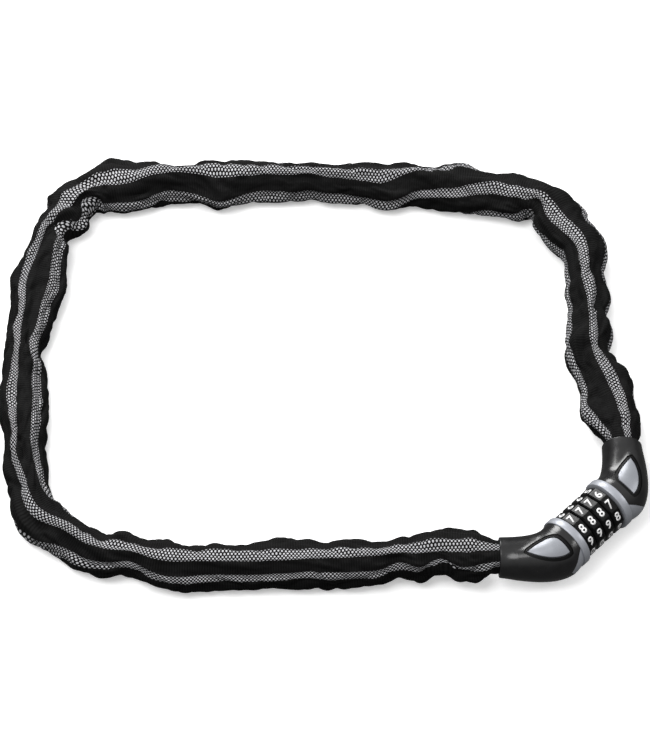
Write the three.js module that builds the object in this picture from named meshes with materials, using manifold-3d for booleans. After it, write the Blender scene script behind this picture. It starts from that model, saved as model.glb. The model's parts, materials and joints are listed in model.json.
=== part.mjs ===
// Combination chain lock: a four-dial lock head closes a loop of long-link chain that runs inside a woven sleeve.
// Units are millimetres and +Z is up. The loop lies on the ground, and the part's origin is the middle of its
// footprint at ground level. The lock head sits at the loop's +X -Y corner.

import * as THREE from 'three';
import { mergeVertices } from 'three/addons/utils/BufferGeometryUtils.js';
import Module from 'manifold-3d';

const wasm = await Module();
wasm.setup();

// ---------------------------------------------------------------- driving dimensions

const GAP = 0.3; // clearance between two pieces that touch on the real lock

// Lock head, in its own frame: X runs along the dial barrel and the head bends towards +Y at both ends.
const DIALS = 4;
const DIGITS = 10;
const DIAL_PITCH = 6.1;
const DIAL_WIDTH = 5.7;
const DIAL_R = 11.9; // across the corners of the ten-sided wheel
const WHEEL_BORE_R = 8.95;
const BARREL_HALF = (DIALS * DIAL_PITCH) / 2 + GAP; // from the barrel's middle to a collar's face
const COLLAR_R = 12.9;
const COLLAR_WIDTH = 3.9;
const BEND = Math.PI / 4; // turn of each elbow, from the barrel to the chain
const VERTEX_X = 25.7; // where the barrel's axis meets the chain's axis
const SOCKET_LENGTH = 23; // from that vertex to the socket's mouth
const SOCKET_R = 9.25;
const COVER_WALL = 1.25;
const PIN_TO_MOUTH = 8;
const NECK_START_R = 12.2; // beside the collar
const NECK_BEND_END = 9; // past the vertex, where the neck's bend becomes the straight socket
const WINDOW_TIP = [36, 6.6]; // corners of the cover's window, in plan
const WINDOW_CROWN = [22.8, 3.4];
const WINDOW_HEEL = [21.7, -7.9];
const TONGUE_END_X = 25;
const TONGUE_HALF_HEIGHT = 7.6;
const CASTING_SHY = 0.15; // how far the casting's pads and tongue lie under the cover's skin
const EAR_LENGTH = 3.8; // from the anchor pin to the end of the fork's ears
const SWING_ROOM = 1.4; // beside the first link, for its swing about the anchor pin
const HEAD_AT = new THREE.Vector2(120.9, -84.8);
const HEAD_TURN = Math.PI / 4;

// Locking parts inside the barrel.
const INDEX_ANGLE = THREE.MathUtils.degToRad(20); // the code line, from +Z towards the outer side
const TUBE_R = 6;
const TUBE_BORE_R = 4.3;
const BOLT_R = 3.9;
const BOLT_TIP_X = -15;
const SEAT_END_X = 23; // how far the barrel tube and the bolt reach into the castings
const FIN_TOP_R = 6.9;
const FIN_THICKNESS = 1.5;
const FIN_WIDTH = 2.4;
const SLOT_WIDTH = 3.2;
const ROLL_PIN_X = 19.5; // pins the tube or the bolt in its casting
const ROLL_PIN_R = 1;
const WASHER_SEAT_R = 9.4;
const WASHER_SEAT_DEPTH = 1.2;
const RING_R = 8.55;
const RING_BORE_R = 6.4;
const RING_WIDTH = 3.2;
const GATE_R = 7.3;
const NOTCH_DEPTH = 0.35; // of a detent notch in the code ring's bore

// Chain of welded long links.
const LINKS = 25;
const WIRE = 3.8;
const LINK_WIDTH = 14; // over the outside
const SLACK = 0.7; // play at each side of a contact
const ANCHOR_PIN_R = 2;
const REACH = WIRE / 2 + SLACK; // from a hinge point to the wire centre of the link's tip
const ANCHOR_REACH = ANCHOR_PIN_R + SLACK + WIRE / 2;

// Sleeve of woven tube, as it lies over the chain.
const SLEEVE_HALF_WIDTH = 11.5;
const SLEEVE_HALF_HEIGHT = 9;
const SLEEVE_WALL = 1.2;
const SLEEVE_GAP = 3; // between two lengths of sleeve, for the bend between them
const SLEEVE_MOUTH_GAP = 2;
const DROOP_LENGTH = 110; // the chain comes down from the socket to the ground over this length

// Middle line of the loop from the lower socket round to the upper one, on the ground plan.
const LOOP_POINTS = [
  [55, -102.4], [-12, -105], [-80, -104], [-122, -88.5], [-141, -50], [-144.5, 10], [-141, 62],
  [-127, 102], [-90, 117], [0, 118], [78, 113], [115, 97], [128.5, 57], [128.8, 12], [137.3, -23],
];

// ---------------------------------------------------------------- solids and booleans

// A closed three.js geometry as a manifold solid.
function toSolid(geometry) {
  const bare = geometry.clone();
  bare.deleteAttribute('normal');
  bare.deleteAttribute('uv');
  const merged = mergeVertices(bare, 1e-4);
  return new wasm.Manifold(new wasm.Mesh({
    numProp: 3,
    vertProperties: new Float32Array(merged.attributes.position.array),
    triVerts: new Uint32Array(merged.index.array),
  }));
}

// A manifold solid as a three.js geometry.
function toGeometry(solid) {
  const { numProp, vertProperties, triVerts } = solid.getMesh();
  const points = new Float32Array((vertProperties.length / numProp) * 3);
  for (let i = 0; i < points.length / 3; i += 1) {
    points.set(vertProperties.subarray(i * numProp, i * numProp + 3), i * 3);
  }
  const geometry = new THREE.BufferGeometry();
  geometry.setAttribute('position', new THREE.BufferAttribute(points, 3));
  geometry.setIndex(new THREE.BufferAttribute(new Uint32Array(triVerts), 1));
  const faceted = geometry.toNonIndexed();
  faceted.computeVertexNormals();
  return faceted;
}

const join = (first, ...others) => others.reduce((a, b) => a.add(b), first);
const cut = (first, ...others) => others.reduce((a, b) => a.subtract(b), first);

// The surface through a list of rings, which hold the same number of points and turn anticlockwise about the way
// the list runs. A looped list closes on its first ring; an open one gets a flat cap at each end.
function skin(rings, looped = false) {
  const around = rings[0].length;
  const points = rings.flat();
  const index = [];
  const spans = looped ? rings.length : rings.length - 1;
  for (let i = 0; i < spans; i += 1) {
    const here = i * around;
    const next = ((i + 1) % rings.length) * around;
    for (let j = 0; j < around; j += 1) {
      const k = (j + 1) % around;
      index.push(here + j, here + k, next + k, here + j, next + k, next + j);
    }
  }
  const last = (rings.length - 1) * around;
  for (let j = 1; !looped && j < around - 1; j += 1) {
    index.push(0, j + 1, j, last, last + j, last + j + 1);
  }
  const geometry = new THREE.BufferGeometry().setFromPoints(points);
  geometry.setIndex(index);
  return geometry;
}

// A ring of points round a centre, spanned by two half axes.
function ringOf(centre, sideways, upwards, count) {
  return Array.from({ length: count }, (_, i) => {
    const angle = ((i + 0.5) / count) * 2 * Math.PI;
    return centre.clone()
      .addScaledVector(sideways, Math.cos(angle))
      .addScaledVector(upwards, Math.sin(angle));
  });
}

// A cylinder along X from one end to the other.
function barrelCylinder(radius, from, to, sides = 24) {
  const geometry = new THREE.CylinderGeometry(radius, radius, to - from, sides);
  return toSolid(geometry.rotateZ(Math.PI / 2).translate((from + to) / 2, 0, 0));
}

// A vertical cylinder centred on the head's plane.
function uprightCylinder(radius, height, x, y, sides = 12) {
  const geometry = new THREE.CylinderGeometry(radius, radius, height, sides);
  return toSolid(geometry.rotateX(Math.PI / 2).translate(x, y, 0));
}

function box(width, depth, height, x, y, z) {
  return toSolid(new THREE.BoxGeometry(width, depth, height).translate(x, y, z));
}

// A plate of the shape's outline in the XY plane, from one height to another.
function plate(shape, from, to, curveSegments = 6) {
  const options = { depth: to - from, bevelEnabled: false, curveSegments };
  return toSolid(new THREE.ExtrudeGeometry(shape, options).translate(0, 0, from));
}

// Turns a solid that stands in +Z round the barrel to the code line.
function toIndexLine(geometry) {
  return geometry.rotateX(INDEX_ANGLE);
}

// ---------------------------------------------------------------- elbow castings and covers

const ALONG = new THREE.Vector3(Math.cos(BEND), Math.sin(BEND), 0); // chain's way out of the right elbow
const OUTER = new THREE.Vector3(Math.sin(BEND), -Math.cos(BEND), 0); // outer side of the right socket
const VERTEX = new THREE.Vector3(VERTEX_X, 0, 0);
const UP = new THREE.Vector3(0, 0, 1);
const TOOL = 40; // length of a cutting tool that passes right through the head
const MOUTH = VERTEX.clone().addScaledVector(ALONG, SOCKET_LENGTH);
const ANCHOR = VERTEX.clone().addScaledVector(ALONG, SOCKET_LENGTH - PIN_TO_MOUTH);
const COVER_START_X = BARREL_HALF + COLLAR_WIDTH;
const ELBOW_SIDES = 16;

// Neck: a round pipe that leaves the collar along X, bends, and becomes the straight socket.
function neck(inset, past = 0) {
  const start = new THREE.Vector3(COVER_START_X - past, 0, 0);
  const joined = VERTEX.clone().addScaledVector(ALONG, NECK_BEND_END);
  const bend = new THREE.QuadraticBezierCurve3(start, VERTEX, joined);
  const steps = 5;
  const rings = [];
  for (let i = 0; i <= steps; i += 1) {
    const t = i / steps;
    const shrink = THREE.MathUtils.smoothstep(t, 0, 0.85);
    const radius = THREE.MathUtils.lerp(NECK_START_R, SOCKET_R, shrink) - inset;
    const sideways = new THREE.Vector3().crossVectors(UP, bend.getTangent(t)).multiplyScalar(radius);
    rings.push(ringOf(bend.getPoint(t), sideways, UP.clone().multiplyScalar(radius), ELBOW_SIDES));
  }
  const side = new THREE.Vector3().crossVectors(UP, ALONG).multiplyScalar(SOCKET_R - inset);
  rings.push(ringOf(MOUTH, side, UP.clone().multiplyScalar(SOCKET_R - inset), ELBOW_SIDES));
  return toSolid(skin(rings));
}

// Shoulder: the swelling on the outer side of the bend. Its sections are ellipses between an inner and an outer
// edge line, and it fades out on the outer side of the socket's mouth.
const SHOULDER_INNER = new THREE.SplineCurve([
  new THREE.Vector2(COVER_START_X, 12.4), new THREE.Vector2(22, 10.4),
  new THREE.Vector2(32, 9.6), new THREE.Vector2(40.2, 9.8), new THREE.Vector2(45.6, 10.2),
]);
const SHOULDER_OUTER = new THREE.SplineCurve([
  new THREE.Vector2(COVER_START_X, -12.4), new THREE.Vector2(24.5, -12.9),
  new THREE.Vector2(36.4, -6.6), new THREE.Vector2(43, 1.2), new THREE.Vector2(47.2, 8.2),
]);
const SHOULDER_HEIGHT = new THREE.SplineCurve([
  new THREE.Vector2(0, 12.4), new THREE.Vector2(0.3, 11.9),
  new THREE.Vector2(0.6, 10.3), new THREE.Vector2(0.85, 7.6), new THREE.Vector2(1, 4.2),
]);

function shoulder(inset) {
  const steps = 6;
  const rings = [];
  for (let i = 0; i <= steps; i += 1) {
    const t = i / steps;
    const inner = SHOULDER_INNER.getPoint(t);
    const outer = SHOULDER_OUTER.getPoint(t);
    const centre = inner.clone().add(outer).multiplyScalar(0.5);
    const across = inner.clone().sub(outer);
    const half = Math.max(across.length() / 2 - inset, 0.4);
    const height = Math.max(SHOULDER_HEIGHT.getPoint(t).y - inset, 0.8);
    across.normalize().multiplyScalar(half);
    rings.push(ringOf(
      new THREE.Vector3(centre.x, centre.y, 0),
      new THREE.Vector3(across.x, across.y, 0),
      UP.clone().multiplyScalar(height),
      ELBOW_SIDES,
    ));
  }
  return toSolid(skin(rings));
}

const elbow = (inset) => join(neck(inset), shoulder(inset));

// Window in the cover's top and underside: a leaf with one rounded corner at the inner side of the bend.
function windowPrism(grow) {
  const middle = new THREE.Vector2(27, -0.3);
  const spread = (x, y) => {
    const offset = new THREE.Vector2(x, y).sub(middle);
    return offset.setLength(offset.length() + grow).add(middle);
  };
  const tip = spread(...WINDOW_TIP);
  const crown = spread(...WINDOW_CROWN);
  const heel = spread(...WINDOW_HEEL);
  const belly = spread(30.6, -4.4);
  const leaf = new THREE.Shape();
  leaf.moveTo(tip.x, tip.y);
  leaf.quadraticCurveTo(27, 5.8 + grow, crown.x, crown.y);
  leaf.quadraticCurveTo(20.4 - grow, 0.8, heel.x, heel.y);
  leaf.quadraticCurveTo(belly.x, belly.y - 1.6, tip.x, tip.y);
  return plate(leaf, -TOOL / 2, TOOL / 2, 4);
}

// Tongue on the outer side of the bend, where the casting shows past the cover. It tapers away from the collar.
function tonguePrism(grow) {
  const from = COVER_START_X - 1;
  const to = TONGUE_END_X + grow;
  const half = TONGUE_HALF_HEIGHT + grow;
  const tongue = new THREE.Shape();
  tongue.moveTo(from, -half);
  tongue.quadraticCurveTo(20, -half * 0.75, to, 0);
  tongue.quadraticCurveTo(20, half * 0.75, from, half);
  const options = { depth: 12, bevelEnabled: false, curveSegments: 5 };
  const geometry = new THREE.ExtrudeGeometry(tongue, options).rotateX(Math.PI / 2);
  return toSolid(geometry.translate(0, -5, 0));
}

// Black cover of the right elbow: a shell over the casting, open at the mouth, the windows and the tongue.
function coverSolid() {
  const shell = cut(elbow(0), neck(COVER_WALL, 1), shoulder(COVER_WALL));
  const mouthBore = new THREE.CylinderGeometry(SOCKET_R - COVER_WALL, SOCKET_R - COVER_WALL, 8, 20)
    .rotateZ(BEND - Math.PI / 2)
    .translate(MOUTH.x, MOUTH.y, 0);
  const collarSide = box(4, TOOL, TOOL, COVER_START_X + GAP - 2, 0, 0);
  const hollowed = cut(shell, toSolid(mouthBore), collarSide, windowPrism(GAP), tonguePrism(GAP));
  return hollowed.decompose().reduce((a, b) => (a.volume() > b.volume() ? a : b));
}

// Silver casting of the right elbow: collar, body under the cover, windows' pads and tongue. It ends in a fork that
// holds the anchor pin, with the first link between its two ears.
function castingSolid(seatRadius) {
  const inset = COVER_WALL + GAP;
  const trim = new THREE.BoxGeometry(TOOL, TOOL, TOOL).rotateZ(BEND);
  const trimAt = ANCHOR.clone().addScaledVector(ALONG, TOOL / 2 + EAR_LENGTH);
  const body = cut(elbow(inset), toSolid(trim.translate(trimAt.x, trimAt.y, 0)));
  const flush = elbow(CASTING_SHY);
  const pads = flush.intersect(windowPrism(0));
  const tongue = flush.intersect(tonguePrism(0));
  const collar = barrelCylinder(COLLAR_R, BARREL_HALF, COVER_START_X, 32);
  const slotBack = ANCHOR_REACH + WIRE / 2 + 1;
  const slot = new THREE.BoxGeometry(TOOL, TOOL, WIRE + 2).rotateZ(BEND);
  const slotAt = ANCHOR.clone().addScaledVector(ALONG, TOOL / 2 - slotBack);
  const innerBore = neck(COVER_WALL + 1.2);
  const slotSolid = toSolid(slot.translate(slotAt.x, slotAt.y, 0)).intersect(innerBore.add(mouthSweep()));
  return cut(
    join(body, pads, tongue, collar),
    slotSolid,
    uprightCylinder(ANCHOR_PIN_R + GAP, TOOL, ANCHOR.x, ANCHOR.y),
    barrelCylinder(seatRadius + GAP, BARREL_HALF - 1, SEAT_END_X + GAP),
    barrelCylinder(WASHER_SEAT_R, BARREL_HALF - 1, BARREL_HALF + WASHER_SEAT_DEPTH),
    uprightCylinder(ROLL_PIN_R + GAP, TOOL, ROLL_PIN_X, 0),
  ).decompose().reduce((a, b) => (a.volume() > b.volume() ? a : b));
}

// The room that the first link sweeps when it swings a little about the anchor pin.
function mouthSweep() {
  const half = LINK_WIDTH / 2 + SWING_ROOM;
  const sweep = new THREE.CylinderGeometry(half, half, 12, 20);
  return toSolid(sweep.rotateX(Math.PI / 2).translate(ANCHOR.x, ANCHOR.y, 0));
}

// ---------------------------------------------------------------- dials and locking parts

const dialX = (i) => (i - (DIALS - 1) / 2) * DIAL_PITCH;

// Number wheel: ten flat faces, chamfered at both ends, with one face on the code line.
function numberWheel() {
  const chamfer = 0.45;
  const turn = INDEX_ANGLE + Math.PI / DIGITS;
  const ringAt = (x, radius) => Array.from({ length: DIGITS }, (_, i) => {
    const angle = turn + (i / DIGITS) * 2 * Math.PI;
    return new THREE.Vector3(x, -radius * Math.sin(angle), radius * Math.cos(angle));
  });
  const half = DIAL_WIDTH / 2;
  const rings = [
    ringAt(-half, DIAL_R - chamfer), ringAt(-half + chamfer, DIAL_R),
    ringAt(half - chamfer, DIAL_R), ringAt(half, DIAL_R - chamfer),
  ];
  return cut(toSolid(skin(rings)), barrelCylinder(WHEEL_BORE_R, -half - 1, half + 1));
}

// Code ring: turns with its wheel. Ten detent notches line its bore, and one is deepened into the gate.
function codeRing() {
  const outline = new THREE.Shape().absarc(0, 0, RING_R, 0, 2 * Math.PI, false);
  const gateHalf = SLOT_WIDTH / 2 / RING_BORE_R;
  const bore = new THREE.Path();
  const points = [[GATE_R, -gateHalf], [GATE_R, gateHalf], [RING_BORE_R, gateHalf]];
  const step = (2 * Math.PI) / DIGITS;
  for (let i = 1; i < DIGITS; i += 1) {
    points.push([RING_BORE_R, (i - 0.22) * step]);
    points.push([RING_BORE_R + NOTCH_DEPTH, i * step]);
    points.push([RING_BORE_R, (i + 0.22) * step]);
  }
  points.push([RING_BORE_R, -gateHalf]);
  bore.setFromPoints(points.map(([r, a]) => new THREE.Vector2(r * Math.cos(a), r * Math.sin(a))).reverse());
  outline.holes.push(bore);
  const options = { depth: RING_WIDTH, bevelEnabled: false, curveSegments: 24 };
  const geometry = new THREE.ExtrudeGeometry(outline, options).translate(0, 0, -RING_WIDTH / 2);
  return toSolid(toIndexLine(geometry.rotateY(Math.PI / 2).rotateX(Math.PI)));
}

// A radial block over the bolt or the tube, on the code line.
function onIndexLine(length, width, fromR, toR, x) {
  const geometry = new THREE.BoxGeometry(length, width, toR - fromR).translate(x, 0, (fromR + toR) / 2);
  return toSolid(toIndexLine(geometry));
}

// Barrel tube: the fixed core of the dials, slotted for the bolt's fins, with a flat for the detent spring.
function barrelTube() {
  const from = -SEAT_END_X;
  const slotStart = dialX(0) - DIAL_PITCH / 2 - FIN_THICKNESS / 2 - 0.5;
  const slotLength = BARREL_HALF - slotStart + 1;
  const slot = onIndexLine(slotLength, SLOT_WIDTH, 2, TUBE_R + 2, slotStart + slotLength / 2);
  const springSeat = onIndexLine(2 * BARREL_HALF - 0.8, 3.4, -TUBE_R - 2, -TUBE_R + 0.9, 0);
  return cut(
    barrelCylinder(TUBE_R, from, BARREL_HALF),
    barrelCylinder(TUBE_BORE_R, BOLT_TIP_X - 1, BARREL_HALF + 1),
    slot,
    springSeat,
    uprightCylinder(ROLL_PIN_R + GAP, TOOL, -ROLL_PIN_X, 0),
  );
}

// Leaf spring in the tube's flat, with one bump under each code ring.
function detentSpring() {
  const leaf = onIndexLine(2 * BARREL_HALF - 1.6, 2.6, -TUBE_R + 0.25, -TUBE_R + 0.55, 0);
  const bumps = Array.from({ length: DIALS }, (_, i) => onIndexLine(1.2, 2, -TUBE_R - 0.1, -TUBE_R + 0.3, dialX(i)));
  return join(leaf, ...bumps);
}

// Locking bolt: a round bar with one fin behind each code ring.
function lockingBolt() {
  const bar = barrelCylinder(BOLT_R, BOLT_TIP_X + 1, SEAT_END_X);
  const nose = new THREE.CylinderGeometry(BOLT_R - 1, BOLT_R, 1, 24).rotateZ(Math.PI / 2);
  const fins = Array.from({ length: DIALS }, (_, i) => onIndexLine(
    FIN_THICKNESS, FIN_WIDTH, BOLT_R - 1, FIN_TOP_R, dialX(i) - DIAL_PITCH / 2,
  ));
  const solid = join(bar, toSolid(nose.translate(BOLT_TIP_X + 0.5, 0, 0)), ...fins);
  return cut(solid, uprightCylinder(ROLL_PIN_R + GAP, TOOL, ROLL_PIN_X, 0));
}

// A flat washer round the barrel.
function washer(outerR, boreR, from, to) {
  return cut(barrelCylinder(outerR, from, to), barrelCylinder(boreR, from - 1, to + 1));
}

// ---------------------------------------------------------------- chain and sleeve

// Hinge points of the chain: the two anchor pins and the contacts between links, with every link equally long.
// The first and the last chord are shorter, because a pin lies deeper in its link than a wire does.
function chainPivots(loop, heightAt) {
  const shorter = ANCHOR_REACH - REACH;
  const pointAt = (t) => {
    const point = loop.getPoint(t);
    return new THREE.Vector3(point.x, point.y, heightAt(t));
  };
  const walk = (pitch) => {
    const places = [0];
    for (let i = 1; i < LINKS; i += 1) {
      const chord = i === 1 ? pitch - shorter : pitch;
      const from = pointAt(places[i - 1]);
      let low = places[i - 1];
      let high = Math.min(low + 0.12, 1.05);
      for (let k = 0; k < 30; k += 1) {
        const middle = (low + high) / 2;
        if (from.distanceTo(pointAt(middle)) < chord) low = middle;
        else high = middle;
      }
      places.push(low);
    }
    return places;
  };
  let low = 20;
  let high = 40;
  for (let k = 0; k < 40; k += 1) {
    const pitch = (low + high) / 2;
    const last = pointAt(walk(pitch)[LINKS - 1]);
    if (last.distanceTo(pointAt(1)) > pitch - shorter) low = pitch;
    else high = pitch;
  }
  return { pitch: low, pivots: [...walk(low), 1].map(pointAt) };
}

// Long link in its own frame: X along the link, flat in the XY plane.
function linkGeometry(pitch) {
  const bendR = (LINK_WIDTH - WIRE) / 2;
  const straight = pitch / 2 + REACH - bendR;
  const arcSteps = 5;
  const rings = [];
  for (const side of [1, -1]) {
    for (let i = 0; i <= arcSteps; i += 1) {
      const angle = (i / arcSteps - 0.5) * Math.PI;
      const outward = new THREE.Vector3(side * Math.cos(angle), side * Math.sin(angle), 0);
      const centre = outward.clone().multiplyScalar(bendR).add(new THREE.Vector3(side * straight, 0, 0));
      rings.push(ringOf(centre, outward.multiplyScalar(WIRE / 2), new THREE.Vector3(0, 0, -WIRE / 2), 8));
    }
  }
  return skin(rings, true);
}

// Links lie at 45 degrees, turn and turn about, so that the chain is as wide as it is high. The chain twists a
// little near its ends, where the first link lies flat in the fork.
function linkRoll(i) {
  const ends = Math.min(1, (i - 1) / 4, (LINKS - i) / 4);
  return (i - 1) * (Math.PI / 2) - ends * (Math.PI / 4);
}

// One length of sleeve: an oval tube that follows the hinge points, mitred where it bends.
function sleeveGeometry(points) {
  const count = 12;
  const toCorner = 1 / Math.cos(Math.PI / count);
  const ground = (v) => new THREE.Vector3(v.x, v.y, 0).normalize();
  const ringsAt = (wall) => points.map((point, i) => {
    const before = ground(point.clone().sub(points[Math.max(i - 1, 0)]));
    const after = ground((points[i + 1] ?? point).clone().sub(point));
    const way = before.clone().add(after).normalize();
    const inside = i > 0 && i < points.length - 1;
    const mitre = inside ? 1 / before.dot(way) : 1;
    const side = new THREE.Vector3().crossVectors(UP, way);
    return ringOf(
      point,
      side.multiplyScalar((SLEEVE_HALF_WIDTH - wall) * toCorner * mitre),
      UP.clone().multiplyScalar((SLEEVE_HALF_HEIGHT - wall) * toCorner),
      count,
    );
  });
  return skin([...ringsAt(0), ...ringsAt(SLEEVE_WALL).reverse()], true);
}

// ---------------------------------------------------------------- materials

const paint = (color, roughness, metalness = 0) => new THREE.MeshStandardMaterial({ color, roughness, metalness });
const SILVER = paint(0xa9adb4, 0.38, 0.35);
const BLACK = paint(0x1c1c1f, 0.3);
const DIAL_BLACK = paint(0x0c0c0d, 0.22);
const STEEL = paint(0xb4b6b8, 0.35, 0.9);
const BRASS = paint(0xb59a55, 0.4, 0.8);
const SPRING_STEEL = paint(0x8f9398, 0.3, 0.9);
const FABRIC = paint(0x141415, 0.9);

function piece(name, shape, material) {
  const geometry = shape.isBufferGeometry ? shape : toGeometry(shape);
  const mesh = new THREE.Mesh(geometry, material);
  mesh.name = name;
  return mesh;
}

// ---------------------------------------------------------------- lock head

const head = new THREE.Group();
head.position.set(HEAD_AT.x, HEAD_AT.y, COLLAR_R);
head.rotation.z = HEAD_TURN;

const mirrored = (solid) => solid.mirror([1, 0, 0]);
const anchorPinLength = 2 * (SOCKET_R - COVER_WALL - GAP) - 1.2;
const anchorPin = () => uprightCylinder(ANCHOR_PIN_R, anchorPinLength, ANCHOR.x, ANCHOR.y, 16);
const rollPin = () => uprightCylinder(ROLL_PIN_R, 16, ROLL_PIN_X, 0);

head.add(
  piece('lock_casting', mirrored(castingSolid(TUBE_R)), SILVER),
  piece('lock_cover', mirrored(coverSolid()), BLACK),
  piece('barrel_tube', barrelTube(), STEEL),
  piece('barrel_roll_pin', mirrored(rollPin()), STEEL),
  piece('barrel_end_washer', washer(9, TUBE_R + GAP + 0.9, BARREL_HALF - 0.25, BARREL_HALF + 0.55), STEEL),
  piece('spring_washer', washer(8.9, 7.5, -BARREL_HALF - 0.4, -BARREL_HALF + 0.2), SPRING_STEEL),
  piece('detent_spring', detentSpring(), SPRING_STEEL),
  piece('lock_anchor_pin', mirrored(anchorPin()), STEEL),
  piece('plug_casting', castingSolid(BOLT_R), SILVER),
  piece('plug_cover', coverSolid(), BLACK),
  piece('locking_bolt', lockingBolt(), STEEL),
  piece('bolt_roll_pin', rollPin(), STEEL),
  piece('plug_anchor_pin', anchorPin(), STEEL),
);
const wheel = toGeometry(numberWheel());
const ring = toGeometry(codeRing());
for (let i = 0; i < DIALS; i += 1) {
  const numberWheelMesh = piece(`number_wheel_${i + 1}`, wheel, DIAL_BLACK);
  const codeRingMesh = piece(`code_ring_${i + 1}`, ring, BRASS);
  numberWheelMesh.position.x = dialX(i);
  codeRingMesh.position.x = dialX(i);
  head.add(numberWheelMesh, codeRingMesh);
}

// ---------------------------------------------------------------- loop

// A point of the head's frame on the ground plan.
function onPlan(point) {
  const turned = new THREE.Vector2(point.x, point.y).rotateAround(new THREE.Vector2(), HEAD_TURN);
  return turned.add(HEAD_AT);
}

const leftAnchor = onPlan(new THREE.Vector2(-ANCHOR.x, ANCHOR.y));
const rightAnchor = onPlan(ANCHOR);
const loop = new THREE.CatmullRomCurve3(
  [leftAnchor, ...LOOP_POINTS.map(([x, y]) => new THREE.Vector2(x, y)), rightAnchor]
    .map((p) => new THREE.Vector3(p.x, p.y, 0)),
  false,
  'centripetal',
);
const loopLength = loop.getLength();
const heightAt = (t) => {
  const fromEnd = Math.min(t, 1 - t) * loopLength;
  const down = THREE.MathUtils.smoothstep(fromEnd, 0, DROOP_LENGTH);
  return THREE.MathUtils.lerp(COLLAR_R, SLEEVE_HALF_HEIGHT, down);
};
const { pitch, pivots } = chainPivots(loop, heightAt);

const chain = new THREE.Group();
const link = linkGeometry(pitch);
const number = (i) => String(i).padStart(2, '0');
for (let i = 1; i <= LINKS; i += 1) {
  const mesh = piece(`chain_link_${number(i)}`, link, STEEL);
  const from = pivots[i - 1];
  const to = pivots[i];
  const way = to.clone().sub(from).normalize();
  const side = new THREE.Vector3().crossVectors(UP, way).normalize();
  const up = new THREE.Vector3().crossVectors(way, side);
  mesh.position.copy(from).add(to).multiplyScalar(0.5);
  const deeper = (ANCHOR_REACH - REACH) / 2;
  if (i === 1) mesh.position.addScaledVector(way, -deeper);
  if (i === LINKS) mesh.position.addScaledVector(way, deeper);
  mesh.quaternion.setFromRotationMatrix(new THREE.Matrix4().makeBasis(way, side, up));
  mesh.rotateX(linkRoll(i));
  chain.add(mesh);
}

// Each length of sleeve is held by an even link and reaches to the middle of the odd links on both sides.
const sleeve = new THREE.Group();
const SLEEVES = (LINKS - 1) / 2;
for (let m = 1; m <= SLEEVES; m += 1) {
  const at = 2 * m;
  const before = pivots[at - 1].clone().sub(pivots[at - 2]).normalize();
  const after = pivots[at + 1].clone().sub(pivots[at]).normalize();
  const reachBack = m === 1
    ? pivots[1].distanceTo(pivots[0]) - PIN_TO_MOUTH - SLEEVE_MOUTH_GAP
    : pitch / 2 - SLEEVE_GAP / 2;
  const reachOn = m === SLEEVES
    ? pivots[LINKS].distanceTo(pivots[LINKS - 1]) - PIN_TO_MOUTH - SLEEVE_MOUTH_GAP
    : pitch / 2 - SLEEVE_GAP / 2;
  sleeve.add(piece(`sleeve_${number(m)}`, sleeveGeometry([
    pivots[at - 1].clone().addScaledVector(before, -reachBack),
    pivots[at - 1],
    pivots[at],
    pivots[at].clone().addScaledVector(after, reachOn),
  ]), FABRIC));
}

// ---------------------------------------------------------------- whole part

// The outer group brings the middle of the footprint to the origin, with the ground at z = 0.
const chainLock = new THREE.Group();
chainLock.add(head, chain, sleeve);
chainLock.updateMatrixWorld(true);
const bounds = new THREE.Box3().setFromObject(chainLock, true);
const middle = bounds.getCenter(new THREE.Vector3());
chainLock.position.set(-middle.x, -middle.y, -bounds.min.z);

export default chainLock;
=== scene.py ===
"""Looks for the chain lock: a woven sleeve draped by cloth simulation, a moulded head and its number wheels.

Lengths are millimetres, except on the stage, in materials and where a name ends in _m: those are metres.
Head pieces are built in the head's own frame, whose X runs along the dial barrel and whose Y points to the
inner side of the bend, and are then placed by the HEAD matrix.
"""

import json
import math

import bmesh
import bpy
import numpy as np
from mathutils import Matrix, Vector, noise


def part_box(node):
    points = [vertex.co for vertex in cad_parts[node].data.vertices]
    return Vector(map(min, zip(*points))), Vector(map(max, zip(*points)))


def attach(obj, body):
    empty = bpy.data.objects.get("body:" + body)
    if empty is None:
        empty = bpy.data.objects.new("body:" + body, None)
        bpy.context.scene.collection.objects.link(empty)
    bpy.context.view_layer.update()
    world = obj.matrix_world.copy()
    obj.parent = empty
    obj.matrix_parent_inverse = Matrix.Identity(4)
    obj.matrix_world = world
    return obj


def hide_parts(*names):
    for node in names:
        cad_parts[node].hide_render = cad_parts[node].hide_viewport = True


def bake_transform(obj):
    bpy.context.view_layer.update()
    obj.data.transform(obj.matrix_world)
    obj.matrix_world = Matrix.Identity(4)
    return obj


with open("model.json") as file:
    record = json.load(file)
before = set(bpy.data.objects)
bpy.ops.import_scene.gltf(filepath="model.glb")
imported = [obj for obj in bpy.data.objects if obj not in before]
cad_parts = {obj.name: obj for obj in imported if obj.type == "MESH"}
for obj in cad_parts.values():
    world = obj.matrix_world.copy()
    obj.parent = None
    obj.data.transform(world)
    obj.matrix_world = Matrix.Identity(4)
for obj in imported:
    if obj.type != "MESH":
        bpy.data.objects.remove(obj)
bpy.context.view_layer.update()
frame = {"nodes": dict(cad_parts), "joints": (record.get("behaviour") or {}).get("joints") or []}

MM = 0.001
JOINTS = {joint["name"]: joint for joint in frame["joints"]}
SEED = 7

# ---- dimensions shared with the CAD part

LINKS = 25
WIRE = 3.8
LINK_WIDTH = 14.0
SLACK = 0.7
REACH = WIRE / 2 + SLACK  # from a hinge point to the wire centre of a link's tip
ANCHOR_REACH = 2.0 + SLACK + WIRE / 2  # the same at an anchor pin of 2 mm radius
PIN_TO_MOUTH = 8.0

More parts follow.
